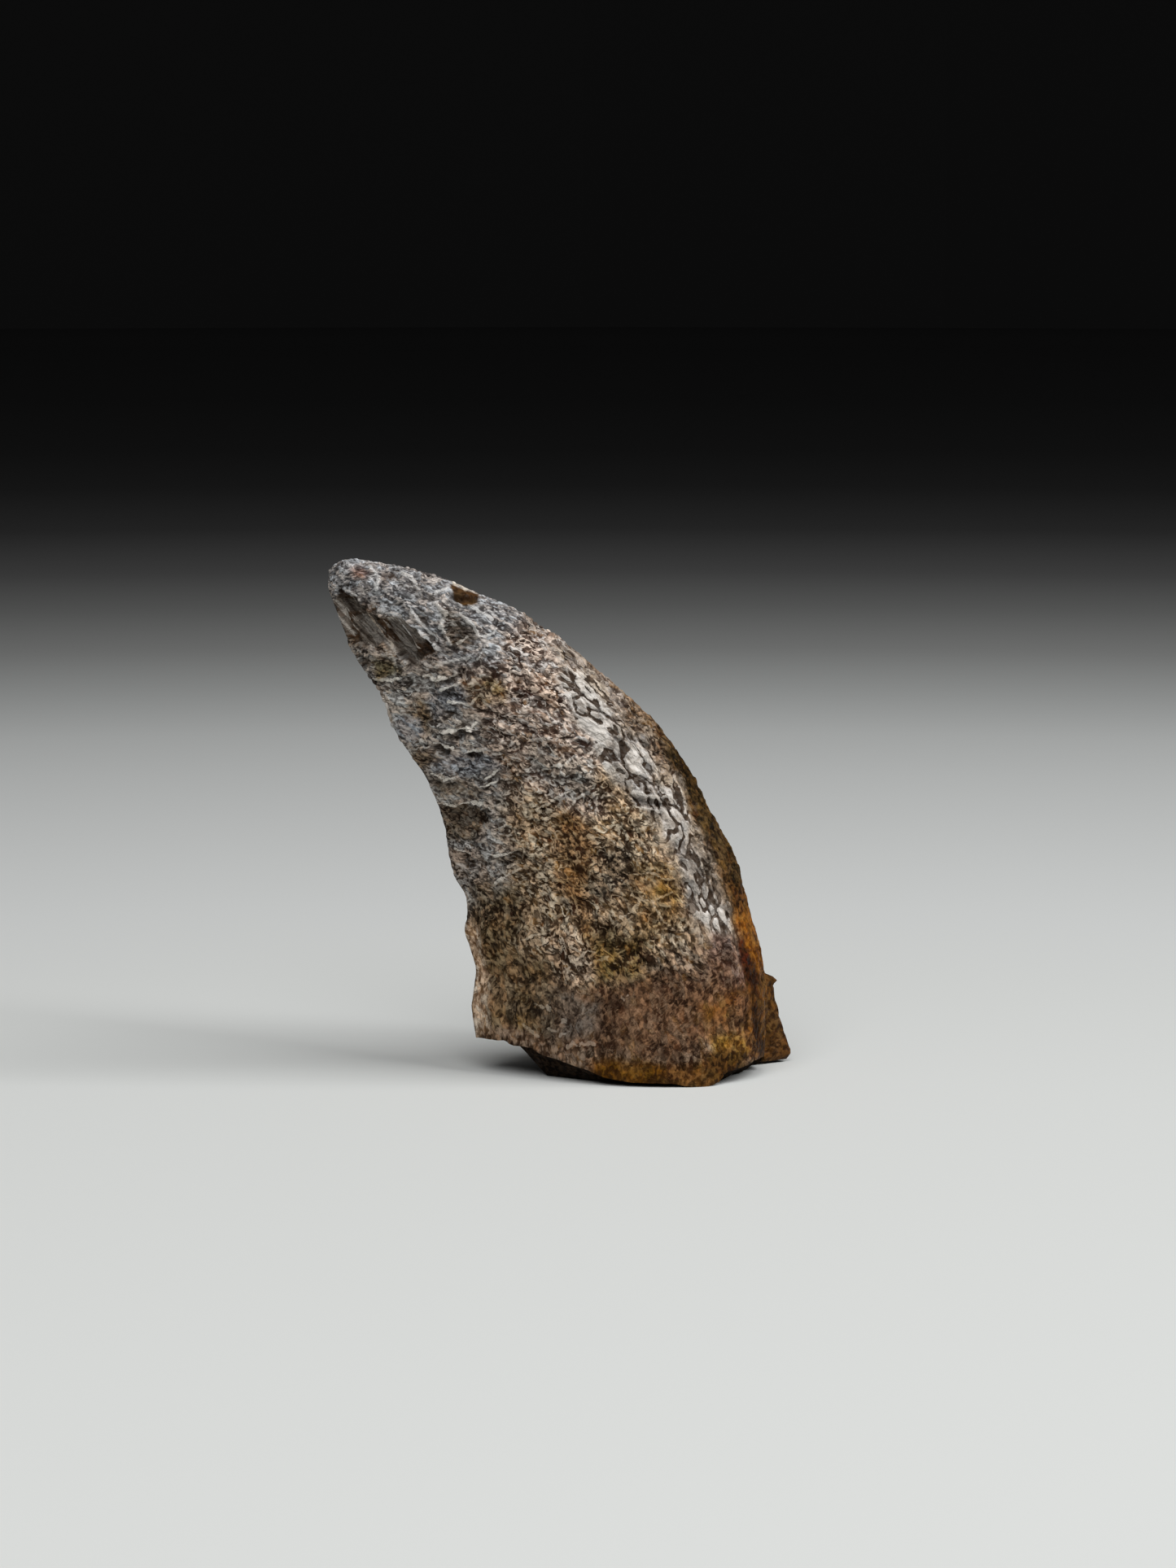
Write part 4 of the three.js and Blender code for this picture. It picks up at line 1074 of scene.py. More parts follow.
class Weaver:
    """Adds nodes to a tree and joins them. Texture and math nodes are the same in both kinds of tree."""

    def __init__(self, tree: bpy.types.NodeTree) -> None:
        """Keeps the tree that the nodes go in."""
        self.tree = tree

    def feed(self, socket: Socket, value: object) -> None:
        """Joins a socket to another, or gives it a plain value."""
        if isinstance(value, bpy.types.NodeSocket):
            self.tree.links.new(value, socket)
        else:
            socket.default_value = value

    def add(self, kind: str, given: dict | None = None, **settings: object) -> bpy.types.Node:
        """Adds a node with those settings, and feeds its inputs what they are given by name or place."""
        node = self.tree.nodes.new(kind)
        for key, value in settings.items():
            setattr(node, key, value)
        for key, value in (given or {}).items():
            self.feed(node.inputs[key], value)
        return node

    def math(self, operation: str, *values: Value, clamp: bool = False) -> Socket:
        """Does arithmetic on values. A clamped result is kept from 0 to 1."""
        given = dict(enumerate(values))
        return self.add("ShaderNodeMath", given, operation=operation, use_clamp=clamp).outputs[0]

    def chain(self, operation: str, values: tuple[Value, ...], clamp: bool) -> Socket:
        """Does one operation on values in turn, and clamps the last result where `clamp` is set."""
        result = values[0]
        for number, value in enumerate(values[1:], start=2):
            result = self.math(operation, result, value, clamp=clamp and number == len(values))
        return result

    def times(self, *values: Value, clamp: bool = False) -> Socket:
        """Multiplies values."""
        return self.chain("MULTIPLY", values, clamp)

    def plus(self, *values: Value, clamp: bool = False) -> Socket:
        """Adds values up."""
        return self.chain("ADD", values, clamp)

    def most(self, *values: Value, clamp: bool = False) -> Socket:
        """Picks the largest of the values."""
        return self.chain("MAXIMUM", values, clamp)

    def minus(self, first: Value, second: Value, clamp: bool = False) -> Socket:
        """Takes the second value from the first."""
        return self.math("SUBTRACT", first, second, clamp=clamp)

    def pile(self, height: Socket, *parts: tuple[Socket, float]) -> Socket:
        """Adds each part to the height, times its depth."""
        for part, depth in parts:
            height = self.plus(height, self.times(part, depth))
        return height

    def vector(self, operation: str, *values: object) -> Socket:
        """Does vector arithmetic. SCALE takes a vector and a number, and some operations give a number."""
        places = (0, "Scale") if operation == "SCALE" else (0, 1)
        node = self.add("ShaderNodeVectorMath", dict(zip(places, values)), operation=operation)
        return node.outputs["Value" if operation in ("DISTANCE", "DOT_PRODUCT") else 0]

    def split(self, vector: Socket) -> list[Socket]:
        """Gives the x, y and z of a vector."""
        return list(self.add("ShaderNodeSeparateXYZ", {0: vector}).outputs)

    def ease(self, value: Value, step: Ramp) -> Socket:
        """Reads a value through a smooth step."""
        ends = {"From Min": step.low, "From Max": step.high, "To Min": step.start, "To Max": step.end}
        given = {"Value": value, **ends}
        return self.add("ShaderNodeMapRange", given, interpolation_type="SMOOTHSTEP").outputs[0]

    def noise(self, place: Socket, grain: Grain) -> bpy.types.Node:
        """Adds a noise texture at coordinates in millimetres."""
        given = {"Vector": place, "Scale": grain.scale, "Detail": grain.octaves, "Roughness": grain.share}
        return self.add("ShaderNodeTexNoise", given)

    def cloud(self, place: Socket, grain: Grain) -> Socket:
        """Adds a noise texture and gives its value."""
        return self.noise(place, grain).outputs[0]

    def moved(self, place: Socket, offset: Triple) -> Socket:
        """Moves coordinates off, where there is an offset."""
        return self.vector("ADD", place, offset) if any(offset) else place

    def patches(self, place: Socket, patches: Patches) -> Socket:
        """Gives 1 in the patches and less outside them."""
        return self.ease(self.cloud(self.moved(place, patches.offset), patches.grain), patches.step)

    def contours(self, place: Socket, contours: Contours) -> Socket:
        """Draws contour lines: 1 on a line, falling to 0 off it."""
        value = self.cloud(self.moved(place, contours.offset), contours.grain)
        phase = self.math("FRACT", self.times(value, contours.levels))
        away = self.times(self.math("ABSOLUTE", self.minus(phase, 0.5)), 2.0)
        return self.ease(away, contours.fade)

    def warp(self, place: Socket, at: Socket, grain: Grain, reach: float) -> Socket:
        """Pushes coordinates about by a noise that is read `at` others, up to half a reach each way."""
        push = self.vector("SUBTRACT", self.noise(at, grain).outputs["Color"], (0.5, 0.5, 0.5))
        return self.vector("ADD", place, self.vector("SCALE", push, reach))

    def cells(self, place: Socket, scale: float, feature: str = "F1") -> bpy.types.Node:
        """Adds a Voronoi texture of that feature."""
        return self.add("ShaderNodeTexVoronoi", {"Vector": place, "Scale": scale}, feature=feature)

    def turn(self, place: Socket, lay: Lay) -> Socket:
        """Turns coordinates about the Y axis and squeezes them."""
        given = {"Vector": place, "Angle": math.radians(lay.degrees)}
        turned = self.add("ShaderNodeVectorRotate", given, rotation_type="Y_AXIS")
        return self.vector("MULTIPLY", turned.outputs[0], lay.squeeze)

    def blend(self, share: Value, first: object, second: object, mode: str = "MIX") -> Socket:
        """Blends two colours by the share of the second that shows."""
        node = self.add("ShaderNodeMix", {0: share}, data_type="RGBA", blend_type=mode, clamp_factor=True)
        self.feed(node.inputs[6], first)
        self.feed(node.inputs[7], second)
        return node.outputs[2]


def new_finish(name: str) -> tuple[bpy.types.Material, Weaver, bpy.types.Node, Socket]:
    """Starts a material. Gives it, its weaver, its shader and the object's coordinates in millimetres."""
    finish = bpy.data.materials.new(name)
    finish.use_nodes = True
    loom = Weaver(finish.node_tree)
    place = loom.vector("SCALE", loom.add("ShaderNodeTexCoord").outputs["Object"], 1.0 / MM)
    return finish, loom, finish.node_tree.nodes["Principled BSDF"], place


@dataclass(frozen=True)
class Ground:
    """Where a pattern is read: coordinates in millimetres, and the zones' strengths by name.

    `flow` follows the blade and `place` doesn't. `bent` and `curled` are `flow` pushed about, more and more.
    """

    loom: Weaver
    flow: Socket
    place: Socket
    bent: Socket
    curled: Socket
    read: dict[str, Socket]


@dataclass(frozen=True)
class Masks:
    """What the enamel's pattern gives at a place.

    `height` and `fine` are in millimetres, the next three are masks, `rise` tells high chips from low ones,
    and `chip` and `rust` are two shares drawn for each chip. The first of the three masks holds the pits and
    seams, with painted shadow under the flecks and painted shade at the ripples' feet.
    """

    height: Socket
    fine: Socket
    cavity: Socket
    crest: Socket
    plate: Socket
    rise: Socket
    chip: Socket
    rust: Socket


@dataclass(frozen=True)
class EnamelPattern:
    """The enamel's relief as one pattern, for the mesh and the finish alike. Depths are in millimetres."""

    bend: Grain = Grain(0.7, 1.0)
    bend_reach: float = 0.7
    curl: Grain = Grain(2.4, 3.0, 0.62)
    curl_reach: float = 0.24
    crust: Grain = Grain(1.15, 3.0, 0.6)
    crust_depth: float = 0.4
    chip_scale: float = 2.8
    chip_lay: Lay = Lay(35.0, (1.0, 1.0, 0.75))
    chip_depth: float = 0.07
    facet_slope: float = 0.8
    fine_share: float = 0.6
    rise_of_step: float = 5.0
    rise_of_crust: float = 1.3
    vein_scale: float = 0.9
    vein_width: Ramp = Ramp(0.015, 0.05, 1.0, 0.0)
    vein_patches: Patches = Patches(Grain(1.1, 1.0), Ramp(0.46, 0.54))
    fleck: Grain = Grain(3.7, 1.5)
    fleck_lay_above: Lay = Lay(52.0, (1.0, 1.0, 0.62))
    fleck_lay_below: Lay = Lay(-78.0, (1.0, 1.0, 0.62))
    lay_changes_at: float = 17.5
    lay_wander: float = 8.0
    fleck_edge: Ramp = Ramp(0.558, 0.59)
    fleck_depth: float = 0.09
    fleck_patches: Patches = Patches(Grain(0.9, 1.0), Ramp(0.43, 0.56, 0.2, 1.0))
    # painted shadow: the flecks' drop shadow, read a little below each fleck
    shadow_edge: Ramp = Ramp(0.535, 0.575)
    shadow_offset: Triple = (0.02, 0.0, 0.08)
    curls: Contours = Contours(Grain(1.6, 1.0, 0.4), 5.0, Ramp(0.16, 0.34, 1.0, 0.0), (7.3, 1.9, 4.1))
    curl_patches: Patches = Patches(Grain(2.1, 1.0), Ramp(0.5, 0.56), (2.0, 5.0, 9.0))
    dashes: Contours = Contours(Grain(1.5, 1.0, 0.4), 5.0, Ramp(0.1, 0.28, 1.0, 0.0))
    dash_lay: Lay = Lay(-12.0, (0.55, 1.0, 1.5))
    dash_patches: Patches = Patches(Grain(1.5, 1.0), Ramp(0.5, 0.57), (4.0, 1.0, 6.0))
    pits: Grain = Grain(2.0, 3.0, 0.6)
    pit_edge: Ramp = Ramp(0.38, 0.47, 1.0, 0.0)
    seam_width: Ramp = Ramp(0.02, 0.12, 1.0, 0.0)
    seam_opening: Ramp = Ramp(0.44, 0.56, 1.0, 0.1)
    cavity_depth: float = 0.08
    plates: Contours = Contours(Grain(1.2, 1.5), 4.5, Ramp(0.24, 0.4, 1.0, 0.0))
    plate_squeeze: Triple = (1.0, 1.0, 0.6)
    plate_depth: float = 0.1
    ripple_spacing: float = 1.15
    ripple_sway: Grain = Grain(0.55)
    ripple_reach: float = 3.0
    ripple_power: float = 2.0
    ripple_depth: float = 0.27
    ripple_patches: Patches = Patches(Grain(0.9, 1.0), Ramp(0.42, 0.55, 0.25, 1.0))
    ripple_fall: Ramp = Ramp(0.93, 1.0, 1.0, 0.0)
    ripple_crest: Ramp = Ramp(0.86, 0.91)
    ripple_crest_opening: Ramp = Ramp(0.47, 0.53)
    ripple_foot: Ramp = Ramp(0.0, 0.2, 1.0, 0.0)
    ripple_foot_share: float = 0.85
    stria: Grain = Grain(2.2, 2.0, 0.6)
    stria_lay: Lay = Lay(42.0, (0.3, 0.6, 3.0))
    stria_depth: float = 0.03

    def chips(self, at: Ground) -> tuple[list[Socket], Socket, Socket]:
        """Draws three shares for each chip, the height of its facet, and the distance to its seam."""
        loom = at.loom
        laid = loom.turn(at.curled, self.chip_lay)
        cells = loom.cells(laid, self.chip_scale)
        seam = loom.cells(laid, self.chip_scale, "DISTANCE_TO_EDGE").outputs["Distance"]
        lean = loom.vector("SUBTRACT", cells.outputs["Color"], (0.5, 0.5, 0.5))
        reach = loom.vector("SUBTRACT", laid, cells.outputs["Position"])
        return loom.split(cells.outputs["Color"]), loom.vector("DOT_PRODUCT", reach, lean), seam

    def veins(self, at: Ground) -> Socket:
        """Draws the web of pale veins."""
        web = at.loom.cells(at.curled, self.vein_scale, "DISTANCE_TO_EDGE").outputs["Distance"]
        vein = at.loom.times(at.loom.ease(web, self.vein_width), at.read["vein"], clamp=True)
        return at.loom.times(vein, at.loom.patches(at.flow, self.vein_patches))

    def splinters(self, loom: Weaver, place: Socket, upper: Socket) -> Socket:
        """Adds the noise whose peaks are the flecks, laid one way where `upper` is 1, else the other."""
        below = loom.turn(place, self.fleck_lay_below)
        change = loom.vector("SUBTRACT", loom.turn(place, self.fleck_lay_above), below)
        laid = loom.vector("ADD", below, loom.vector("SCALE", change, upper))
        return loom.cloud(laid, self.fleck)

    def flecks(self, at: Ground, chip: Socket) -> tuple[Socket, Socket]:
        """Draws the pale flecks, curls and dashes of worn enamel.

        Args:
            at: Where the pattern is read.
            chip: A share drawn for each chip.

        Returns:
            The crests, and the painted shadow under the flecks.
        """
        loom = at.loom
        change = loom.plus(loom.split(at.flow)[2], loom.times(chip, self.lay_wander))
        upper = loom.math("GREATER_THAN", change, self.lay_changes_at + 0.5 * self.lay_wander)
        fleck = loom.ease(self.splinters(loom, at.curled, upper), self.fleck_edge)
        shadow = self.splinters(loom, loom.moved(at.curled, self.shadow_offset), upper)
        shade = loom.minus(loom.ease(shadow, self.shadow_edge), fleck, clamp=True)
        shown = loom.times(loom.patches(at.flow, self.fleck_patches), at.read["fleck"])
        curl = loom.times(loom.contours(at.curled, self.curls), loom.patches(at.flow, self.curl_patches),
                          at.read["fleck"])
        dash = loom.times(loom.contours(loom.turn(at.curled, self.dash_lay), self.dashes),
                          loom.patches(at.flow, self.dash_patches), at.read["ripple"], clamp=True)
        crest = loom.most(loom.times(fleck, shown, clamp=True), curl)
        crest = loom.most(crest, self.veins(at), clamp=True)
        return loom.most(crest, dash), loom.times(shade, shown, clamp=True)

    def ripples(self, at: Ground) -> tuple[Socket, Socket, Socket]:
        """Adds the wrinkles that cross the blade, each rising to a crest that falls off sharply.

        Args:
            at: Where the pattern is read.

        Returns:
            Their height; their crests, which the finish paints pale as a highlight; and their feet, which it
            paints as shade.
        """
        loom = at.loom
        sway = loom.times(loom.minus(loom.cloud(at.bent, self.ripple_sway), 0.5), self.ripple_reach)
        along_them = loom.plus(loom.split(at.place)[2], sway)
        phase = loom.math("FRACT", loom.math("DIVIDE", along_them, self.ripple_spacing))
        fall = loom.ease(phase, self.ripple_fall)
        broken, strength = loom.patches(at.flow, self.ripple_patches), at.read["ripple"]
        height = loom.times(loom.math("POWER", phase, self.ripple_power), fall, broken, strength)
        crest = loom.times(loom.ease(phase, self.ripple_crest), fall, strength)
        return height, crest, loom.times(loom.ease(phase, self.ripple_foot), broken, strength)

    def weave(self, loom: Weaver, flow: Socket, place: Socket, read: dict[str, Socket]) -> Masks:
        """Adds the pattern to a tree.

        Args:
            loom: The tree's weaver.
            flow: Coordinates that follow the blade, in millimetres.
            place: Coordinates that don't, in millimetres.
            read: The zone strengths by name.

        Returns:
            The heights and the masks.
        """
        bent = loom.warp(flow, flow, self.bend, self.bend_reach)
        at = Ground(loom, flow, place, bent, loom.warp(bent, flow, self.curl, self.curl_reach), read)
        drawn, facet, seam = self.chips(at)
        crust = loom.minus(loom.cloud(at.bent, self.crust), 0.5)
        crest, shade = self.flecks(at, drawn[0])
        ripple, ripple_crest, ripple_foot = self.ripples(at)

        pits = loom.cloud(at.curled, self.pits)
        gap = loom.times(loom.ease(seam, self.seam_width), loom.ease(pits, self.seam_opening))
        cavity = loom.most(loom.ease(pits, self.pit_edge), gap)
        # painted shadow under the flecks and painted shade at the ripples' feet darken the colour along with
        # the pits
        cavity = loom.most(loom.times(cavity, read["rough"], clamp=True), shade,
                           loom.times(ripple_foot, self.ripple_foot_share))
        crest = loom.most(crest, loom.times(ripple_crest, loom.ease(pits, self.ripple_crest_opening)))

        long_place = loom.vector("MULTIPLY", at.curled, self.plate_squeeze)
        crack = loom.times(loom.contours(long_place, self.plates), read["plates"])
        plate = loom.minus(read["plates"], crack, clamp=True)

        stria = loom.minus(loom.cloud(loom.turn(place, self.stria_lay), self.stria), 0.5)
        stria = loom.times(stria, read["stria"], 2.0 * self.stria_depth)

        step = loom.times(loom.minus(drawn[0], 0.5), self.chip_depth)
        step = loom.plus(step, loom.times(facet, self.facet_slope))
        rise = loom.plus(loom.times(step, self.rise_of_step), loom.times(crust, self.rise_of_crust))
        height = loom.times(loom.plus(loom.times(crust, 2.0 * self.crust_depth), step), read["rough"])
        height = loom.pile(height, (ripple, self.ripple_depth), (crack, -self.plate_depth),
                           (cavity, -self.cavity_depth), (crest, 0.5 * self.fleck_depth))
        fine = loom.plus(loom.times(crest, self.fleck_depth), stria)
        fine = loom.pile(fine, (cavity, -self.cavity_depth), (crack, -0.5 * self.plate_depth))
        fine = loom.plus(fine, loom.times(step, self.fine_share, read["rough"]))
        return Masks(height, fine, loom.most(cavity, crack), crest, plate, rise, drawn[1], drawn[2])


@dataclass(frozen=True)
class DenticleShape:
    """One denticle, in millimetres: along the edge, across it, and how far it reaches out and in."""

    length: float = 0.3
    thickness: float = 0.5
    reach: float = 0.16
    least: float = 0.75
    most: float = 1.15
    segments: int = 8
    rings: int = 6

    def sizes(self, share: float) -> Triple:
        """Its sizes along its own axes, all larger or smaller by the same share."""
        return share * self.reach, share * self.thickness, share * self.length


@dataclass
class ReliefTree:
    """A Geometry Nodes tree that roughens the blade and seats a denticle on each marked point."""

    pattern: EnamelPattern
    denticle: DenticleShape
    flake_fade: Ramp = Ramp(-0.03, 0.1)
    flake_relief: float = 0.25
    lip_fade: Ramp = Ramp(0.0, 1.0, 0.3, 1.0)
    edge_fade: Ramp = Ramp(0.0, 0.05, 0.2, 1.0)
    below_fade: Ramp = Ramp(0.0, 0.1, 1.0, 0.5)
    lowest: Triple = (-1.0, -1.0, 0.0)
    seed: int = 7
    identifiers: dict[str, str] = field(default_factory=dict)

    def __post_init__(self) -> None:
        """Starts the tree."""
        self.tree = bpy.data.node_groups.new("Enamel relief", "GeometryNodeTree")
        self.loom = Weaver(self.tree)

    def socket(self, name: str, kind: str, into: str = "INPUT") -> None:
        """Adds a named socket to the tree's interface."""
        made = self.tree.interface.new_socket(name=name, in_out=into, socket_type=kind)
        self.identifiers[name] = made.identifier

    def named(self, name: str, kind: str = "FLOAT") -> Socket:
        """Reads an attribute of the mesh."""
        node = self.loom.add("GeometryNodeInputNamedAttribute", {"Name": name}, data_type=kind)
        return node.outputs["Attribute"]

    def build(self) -> bpy.types.NodeTree:
        """Builds the tree.

        Returns:
            The finished tree.
        """
        self.socket("Geometry", "NodeSocketGeometry", "OUTPUT")
        self.socket("Geometry in", "NodeSocketGeometry")
        self.socket("Relief", "NodeSocketFloat")
        self.socket("Denticle size", "NodeSocketFloat")
        self.socket("Seed", "NodeSocketInt")
        self.socket("Finish", "NodeSocketMaterial")
        loom = self.loom
        given = loom.add("NodeGroupInput").outputs
        normal = loom.add("GeometryNodeInputNormal").outputs[0]
        offset = loom.vector("SCALE", normal, self.height(given["Relief"]))
        moved = loom.add("GeometryNodeSetPosition", {"Geometry": given["Geometry in"], "Offset": offset})
        position = loom.add("GeometryNodeInputPosition").outputs[0]
        above = loom.vector("MAXIMUM", position, self.lowest)
        blade = loom.add("GeometryNodeSetPosition", {"Geometry": moved.outputs[0], "Position": above})
        joined = loom.add("GeometryNodeJoinGeometry", {0: blade.outputs[0]})
        loom.feed(joined.inputs[0], self.denticles(blade.outputs[0], given))
        real = loom.add("GeometryNodeRealizeInstances", {0: joined.outputs[0]})
        worn = {"Geometry": real.outputs[0], "Material": given["Finish"]}
        dressed = loom.add("GeometryNodeSetMaterial", worn)
        loom.add("NodeGroupOutput", {0: dressed.outputs[0]})
        return self.tree

    def height(self, relief: Socket) -> Socket:
        """Weaves the relief, quiet in the flakes, at the break, along the edges and underneath.

        Args:
            relief: How strong it is.

        Returns:
            How far each point moves out, in metres.
        """
        loom = self.loom
        position = loom.add("GeometryNodeInputPosition").outputs[0]
        place = loom.vector("SCALE", position, 1.0 / MM)
        read = {name: self.named(name) for name in RELIEFS}
        height = self.pattern.weave(loom, self.named("flow", "FLOAT_VECTOR"), place, read).height
        flaked = loom.minus(1.0, loom.ease(self.named("flake"), self.flake_fade))
        quiet = loom.plus(self.flake_relief, loom.times(flaked, 1.0 - self.flake_relief))
        quiet = loom.times(quiet, loom.ease(self.named("lip"), self.lip_fade),
                           loom.ease(self.named("edge"), self.edge_fade))
        return loom.times(height, relief, quiet, loom.ease(self.named("below"), self.below_fade), MM)

    def denticles(self, blade: Socket, given: bpy.types.NodeOutputs) -> Socket:
        """Adds a denticle to each marked point of the blade.

        Args:
            blade: The roughened blade.
            given: The tree's inputs.

        Returns:
            The denticles as instances.
        """
        loom, shape = self.loom, self.denticle
        ball = loom.add("GeometryNodeMeshUVSphere",
                        {"Segments": shape.segments, "Rings": shape.rings, "Radius": 0.5 * MM})
        smoothed = loom.add("GeometryNodeSetShadeSmooth", {0: ball.outputs[0]})
        normal = loom.add("GeometryNodeInputNormal").outputs[0]
        out = loom.add("FunctionNodeAlignEulerToVector", {"Vector": normal}, axis="X")
        sizes = {"Min": shape.sizes(shape.least), "Max": shape.sizes(shape.most), "Seed": given["Seed"]}
        varied = loom.add("FunctionNodeRandomValue", sizes, data_type="FLOAT_VECTOR")
        seats = loom.add("GeometryNodeInstanceOnPoints", {
            "Points": blade, "Instance": smoothed.outputs[0], "Rotation": out.outputs[0],
            "Selection": loom.math("GREATER_THAN", self.named("seat"), 0.5),
            "Scale": loom.vector("SCALE", varied.outputs[0], given["Denticle size"]),
        })
        return seats.outputs[0]

    def apply(self, blade: bpy.types.Object, finish: bpy.types.Material) -> None:
        """Evaluates the tree on the blade and keeps the result as a plain mesh.

        Args:
            blade: The grid with its attributes, which gets its finished mesh.
            finish: The tooth's material.
        """
        modifier = blade.modifiers.new("Enamel relief", "NODES")
        modifier.node_group = self.tree
        values = {"Relief": 1.0, "Denticle size": 1.0, "Seed": self.seed, "Finish": finish}
        for name, value in values.items():
            modifier[self.identifiers[name]] = value
        graph = bpy.context.evaluated_depsgraph_get()
        made = bpy.data.meshes.new_from_object(blade.evaluated_get(graph))
        blade.modifiers.remove(modifier)
        old, blade.data = blade.data, made
        bpy.data.meshes.remove(old)
        blade.data.name = blade.name


@dataclass(frozen=True)
class Wash:
    """A wash of colour laid over what is there, where a mask is strong.

    `over` is a display colour or the name of a colour, `mask` and `within` are names of masks, `step` tells
    how the mask is read, and `share` is how much of the wash shows.
    """

    over: str | Colour
    mask: str
    step: Ramp | None = None
    within: str = ""
    share: float = 1.0


@dataclass(frozen=True)
class FossilFinish:
    """The tooth's mineral finish: the zones' stains, painted shade in its grooves, hollows and underside,
    and crests that are pale partly from wear and partly as a painted highlight.
    """

    pattern: EnamelPattern
    patch: Grain = Grain(0.75, 2.0, 0.6)
    speck: Grain = Grain(4.3, 1.0, 0.6)
    grain: Grain = Grain(9.0, 2.0, 0.6)
    grit_scale: float = 5.5
    scratch: Grain = Grain(1.7, 3.0, 0.65)
    scratch_lay: Lay = Lay(42.0, (1.1, 1.0, 6.0))
    scratch_bend: Grain = Grain(1.5)
    scratch_reach: float = 0.3
    streak: Grain = Grain(1.5, 3.0, 0.62)
    streak_lay: Lay = Lay(-43.0, (0.2, 1.0, 2.0))
    warm_hue: tuple[float, ...] = (1.06, 0.96, 0.88, 1.0)
    cool_hue: tuple[float, ...] = (0.94, 0.98, 1.02, 1.0)
    cool_chips: Ramp = Ramp(0.3, 0.7)
    ochre_patches: Ramp = Ramp(0.42, 0.56)
    calm_by_striae: float = 0.65
    calm_by_glaze: float = 0.7
    crest_share: float = 0.95
    crest_lost: float = 0.7
    flake_edge: Ramp = Ramp(-0.02, 0.06)
    fold_fray: float = 4.0
    fold_crest: Ramp = Ramp(0.9, 1.5, 1.0, 0.0)
    fold_wear_and_highlight: Point = (0.62, 0.3)
    fold_cream: Point = (0.2, 0.5)
    under_edge: Ramp = Ramp(0.0, 0.045)
    mixed: tuple[tuple[str, str | Colour, tuple[Wash, ...]], ...] = (
        ("ochre", (112, 58, 26), (Wash((186, 138, 72), "chip"),)),
        ("dentine", (80, 58, 39), (
            Wash((132, 122, 112), "patch", Ramp(0.44, 0.56)),
            Wash((38, 27, 18), "streak", Ramp(0.36, 0.48, 0.85, 0.0)),
            Wash((206, 198, 188), "streak", Ramp(0.52, 0.6, 0.0, 0.85)),
            # painted shade from the hollows and fold dips, also over the dentine
            Wash((36, 24, 16), "dark", share=0.7),
        )),
        ("fold", "plain", (Wash((240, 233, 220), "creamy"),)),
        # painted shade: the fracture underneath is near black
        ("matrix", (10, 7, 5), (Wash((28, 19, 12), "speck", Ramp(0.42, 0.6)),)),
    )
    washes: tuple[Wash, ...] = (
        Wash("pale", "patch", Ramp(0.52, 0.6, 0.0, 0.58)),
        Wash("deep", "patch", Ramp(0.4, 0.48, 0.7, 0.0)),
        # high chips lighter and low chips darker: partly wear, partly painted shade
        Wash("pale", "rise", Ramp(0.1, 0.34, 0.0, 0.7), "chippy"),
        Wash("deep", "rise", Ramp(-0.3, -0.06, 0.8, 0.0), "chippy"),
        Wash((70, 36, 25), "rust", Ramp(0.12, 0.3, 1.0, 0.0), "ochre", 0.55),
        Wash("ochre", "rust", Ramp(0.62, 0.8), "ochre_patches", 0.75),
        Wash("pale", "grits", Ramp(0.72, 0.82), "grit", 0.55),
        Wash("deep", "grits", Ramp(0.2, 0.3, 1.0, 0.0), "grit", 0.65),
        Wash("pale", "speck", Ramp(0.5, 0.62, 0.0, 0.58), "calm"),
        Wash("deep", "speck", Ramp(0.38, 0.5, 0.6, 0.0), "unglazed"),
        Wash("pale", "scratch", Ramp(0.54, 0.64), "stria", 0.45),
        Wash("deep", "scratch", Ramp(0.36, 0.46, 1.0, 0.0), "stria", 0.55),
        # painted highlight: the glossy plates are painted pale
        Wash("plain", "patch", Ramp(0.42, 0.56, 0.32, 1.0), "plate"),
        # darker in the pits and seams, with painted shadow under the flecks and painted shade at the
        # ripples' feet
        Wash("deep", "cavity", share=0.9),
        # painted shade in the hollows and in the dips under the folds
        Wash((40, 28, 19), "dark", share=0.85),
        # pale on the crests: worn flecks, curls and veins, and a painted highlight along the ripple crests
        Wash("pale", "patch", Ramp(0.42, 0.57, 0.6, 1.0), "bare_crest"),
        Wash("dentine", "flaked", share=0.92),
        # the folds' pale crests, partly wear and partly painted highlight
        Wash("fold", "fold_crest", within="worn"),
        # painted shade over the underside
        Wash("matrix", "under", share=0.95),
    )
    roughness: Ramp = Ramp(0.35, 0.65, 0.3, 0.52)
    cavity_roughness: float = 0.25
    flake_roughness: float = 0.08
    edge_roughness: Ramp = Ramp(0.0, 0.12, 0.5, 0.0)
    under_roughness: float = 0.6
    plate_coat: float = 0.75
    crest_coat: float = 0.25
    coat_roughness: float = 0.22
    specular: float = 0.05
    grain_depth: float = 0.024
    speck_depth: float = 0.12
    streak_depth: float = 0.15

    def build(self) -> bpy.types.Material:
        """Builds the material.

        Returns:
            The finished material.
        """
        finish, loom, shader, place = new_finish("fossil")
        masks = self.masks(loom, place)
        colours = {name: self.attribute(loom, name, "Color") for name in ("tone", "deep")}
        colours["plain"] = self.attribute(loom, "pale", "Color")
        hue = loom.blend(loom.ease(masks["chip"], self.cool_chips), self.warm_hue, self.cool_hue)
        colours["pale"] = loom.blend(1.0, colours["plain"], hue, "MULTIPLY")
        for name, base, washes in self.mixed:
            colours[name] = self.washed(loom, base, washes, colours, masks)
        loom.feed(shader.inputs["Base Color"], self.washed(loom, "tone", self.washes, colours, masks))

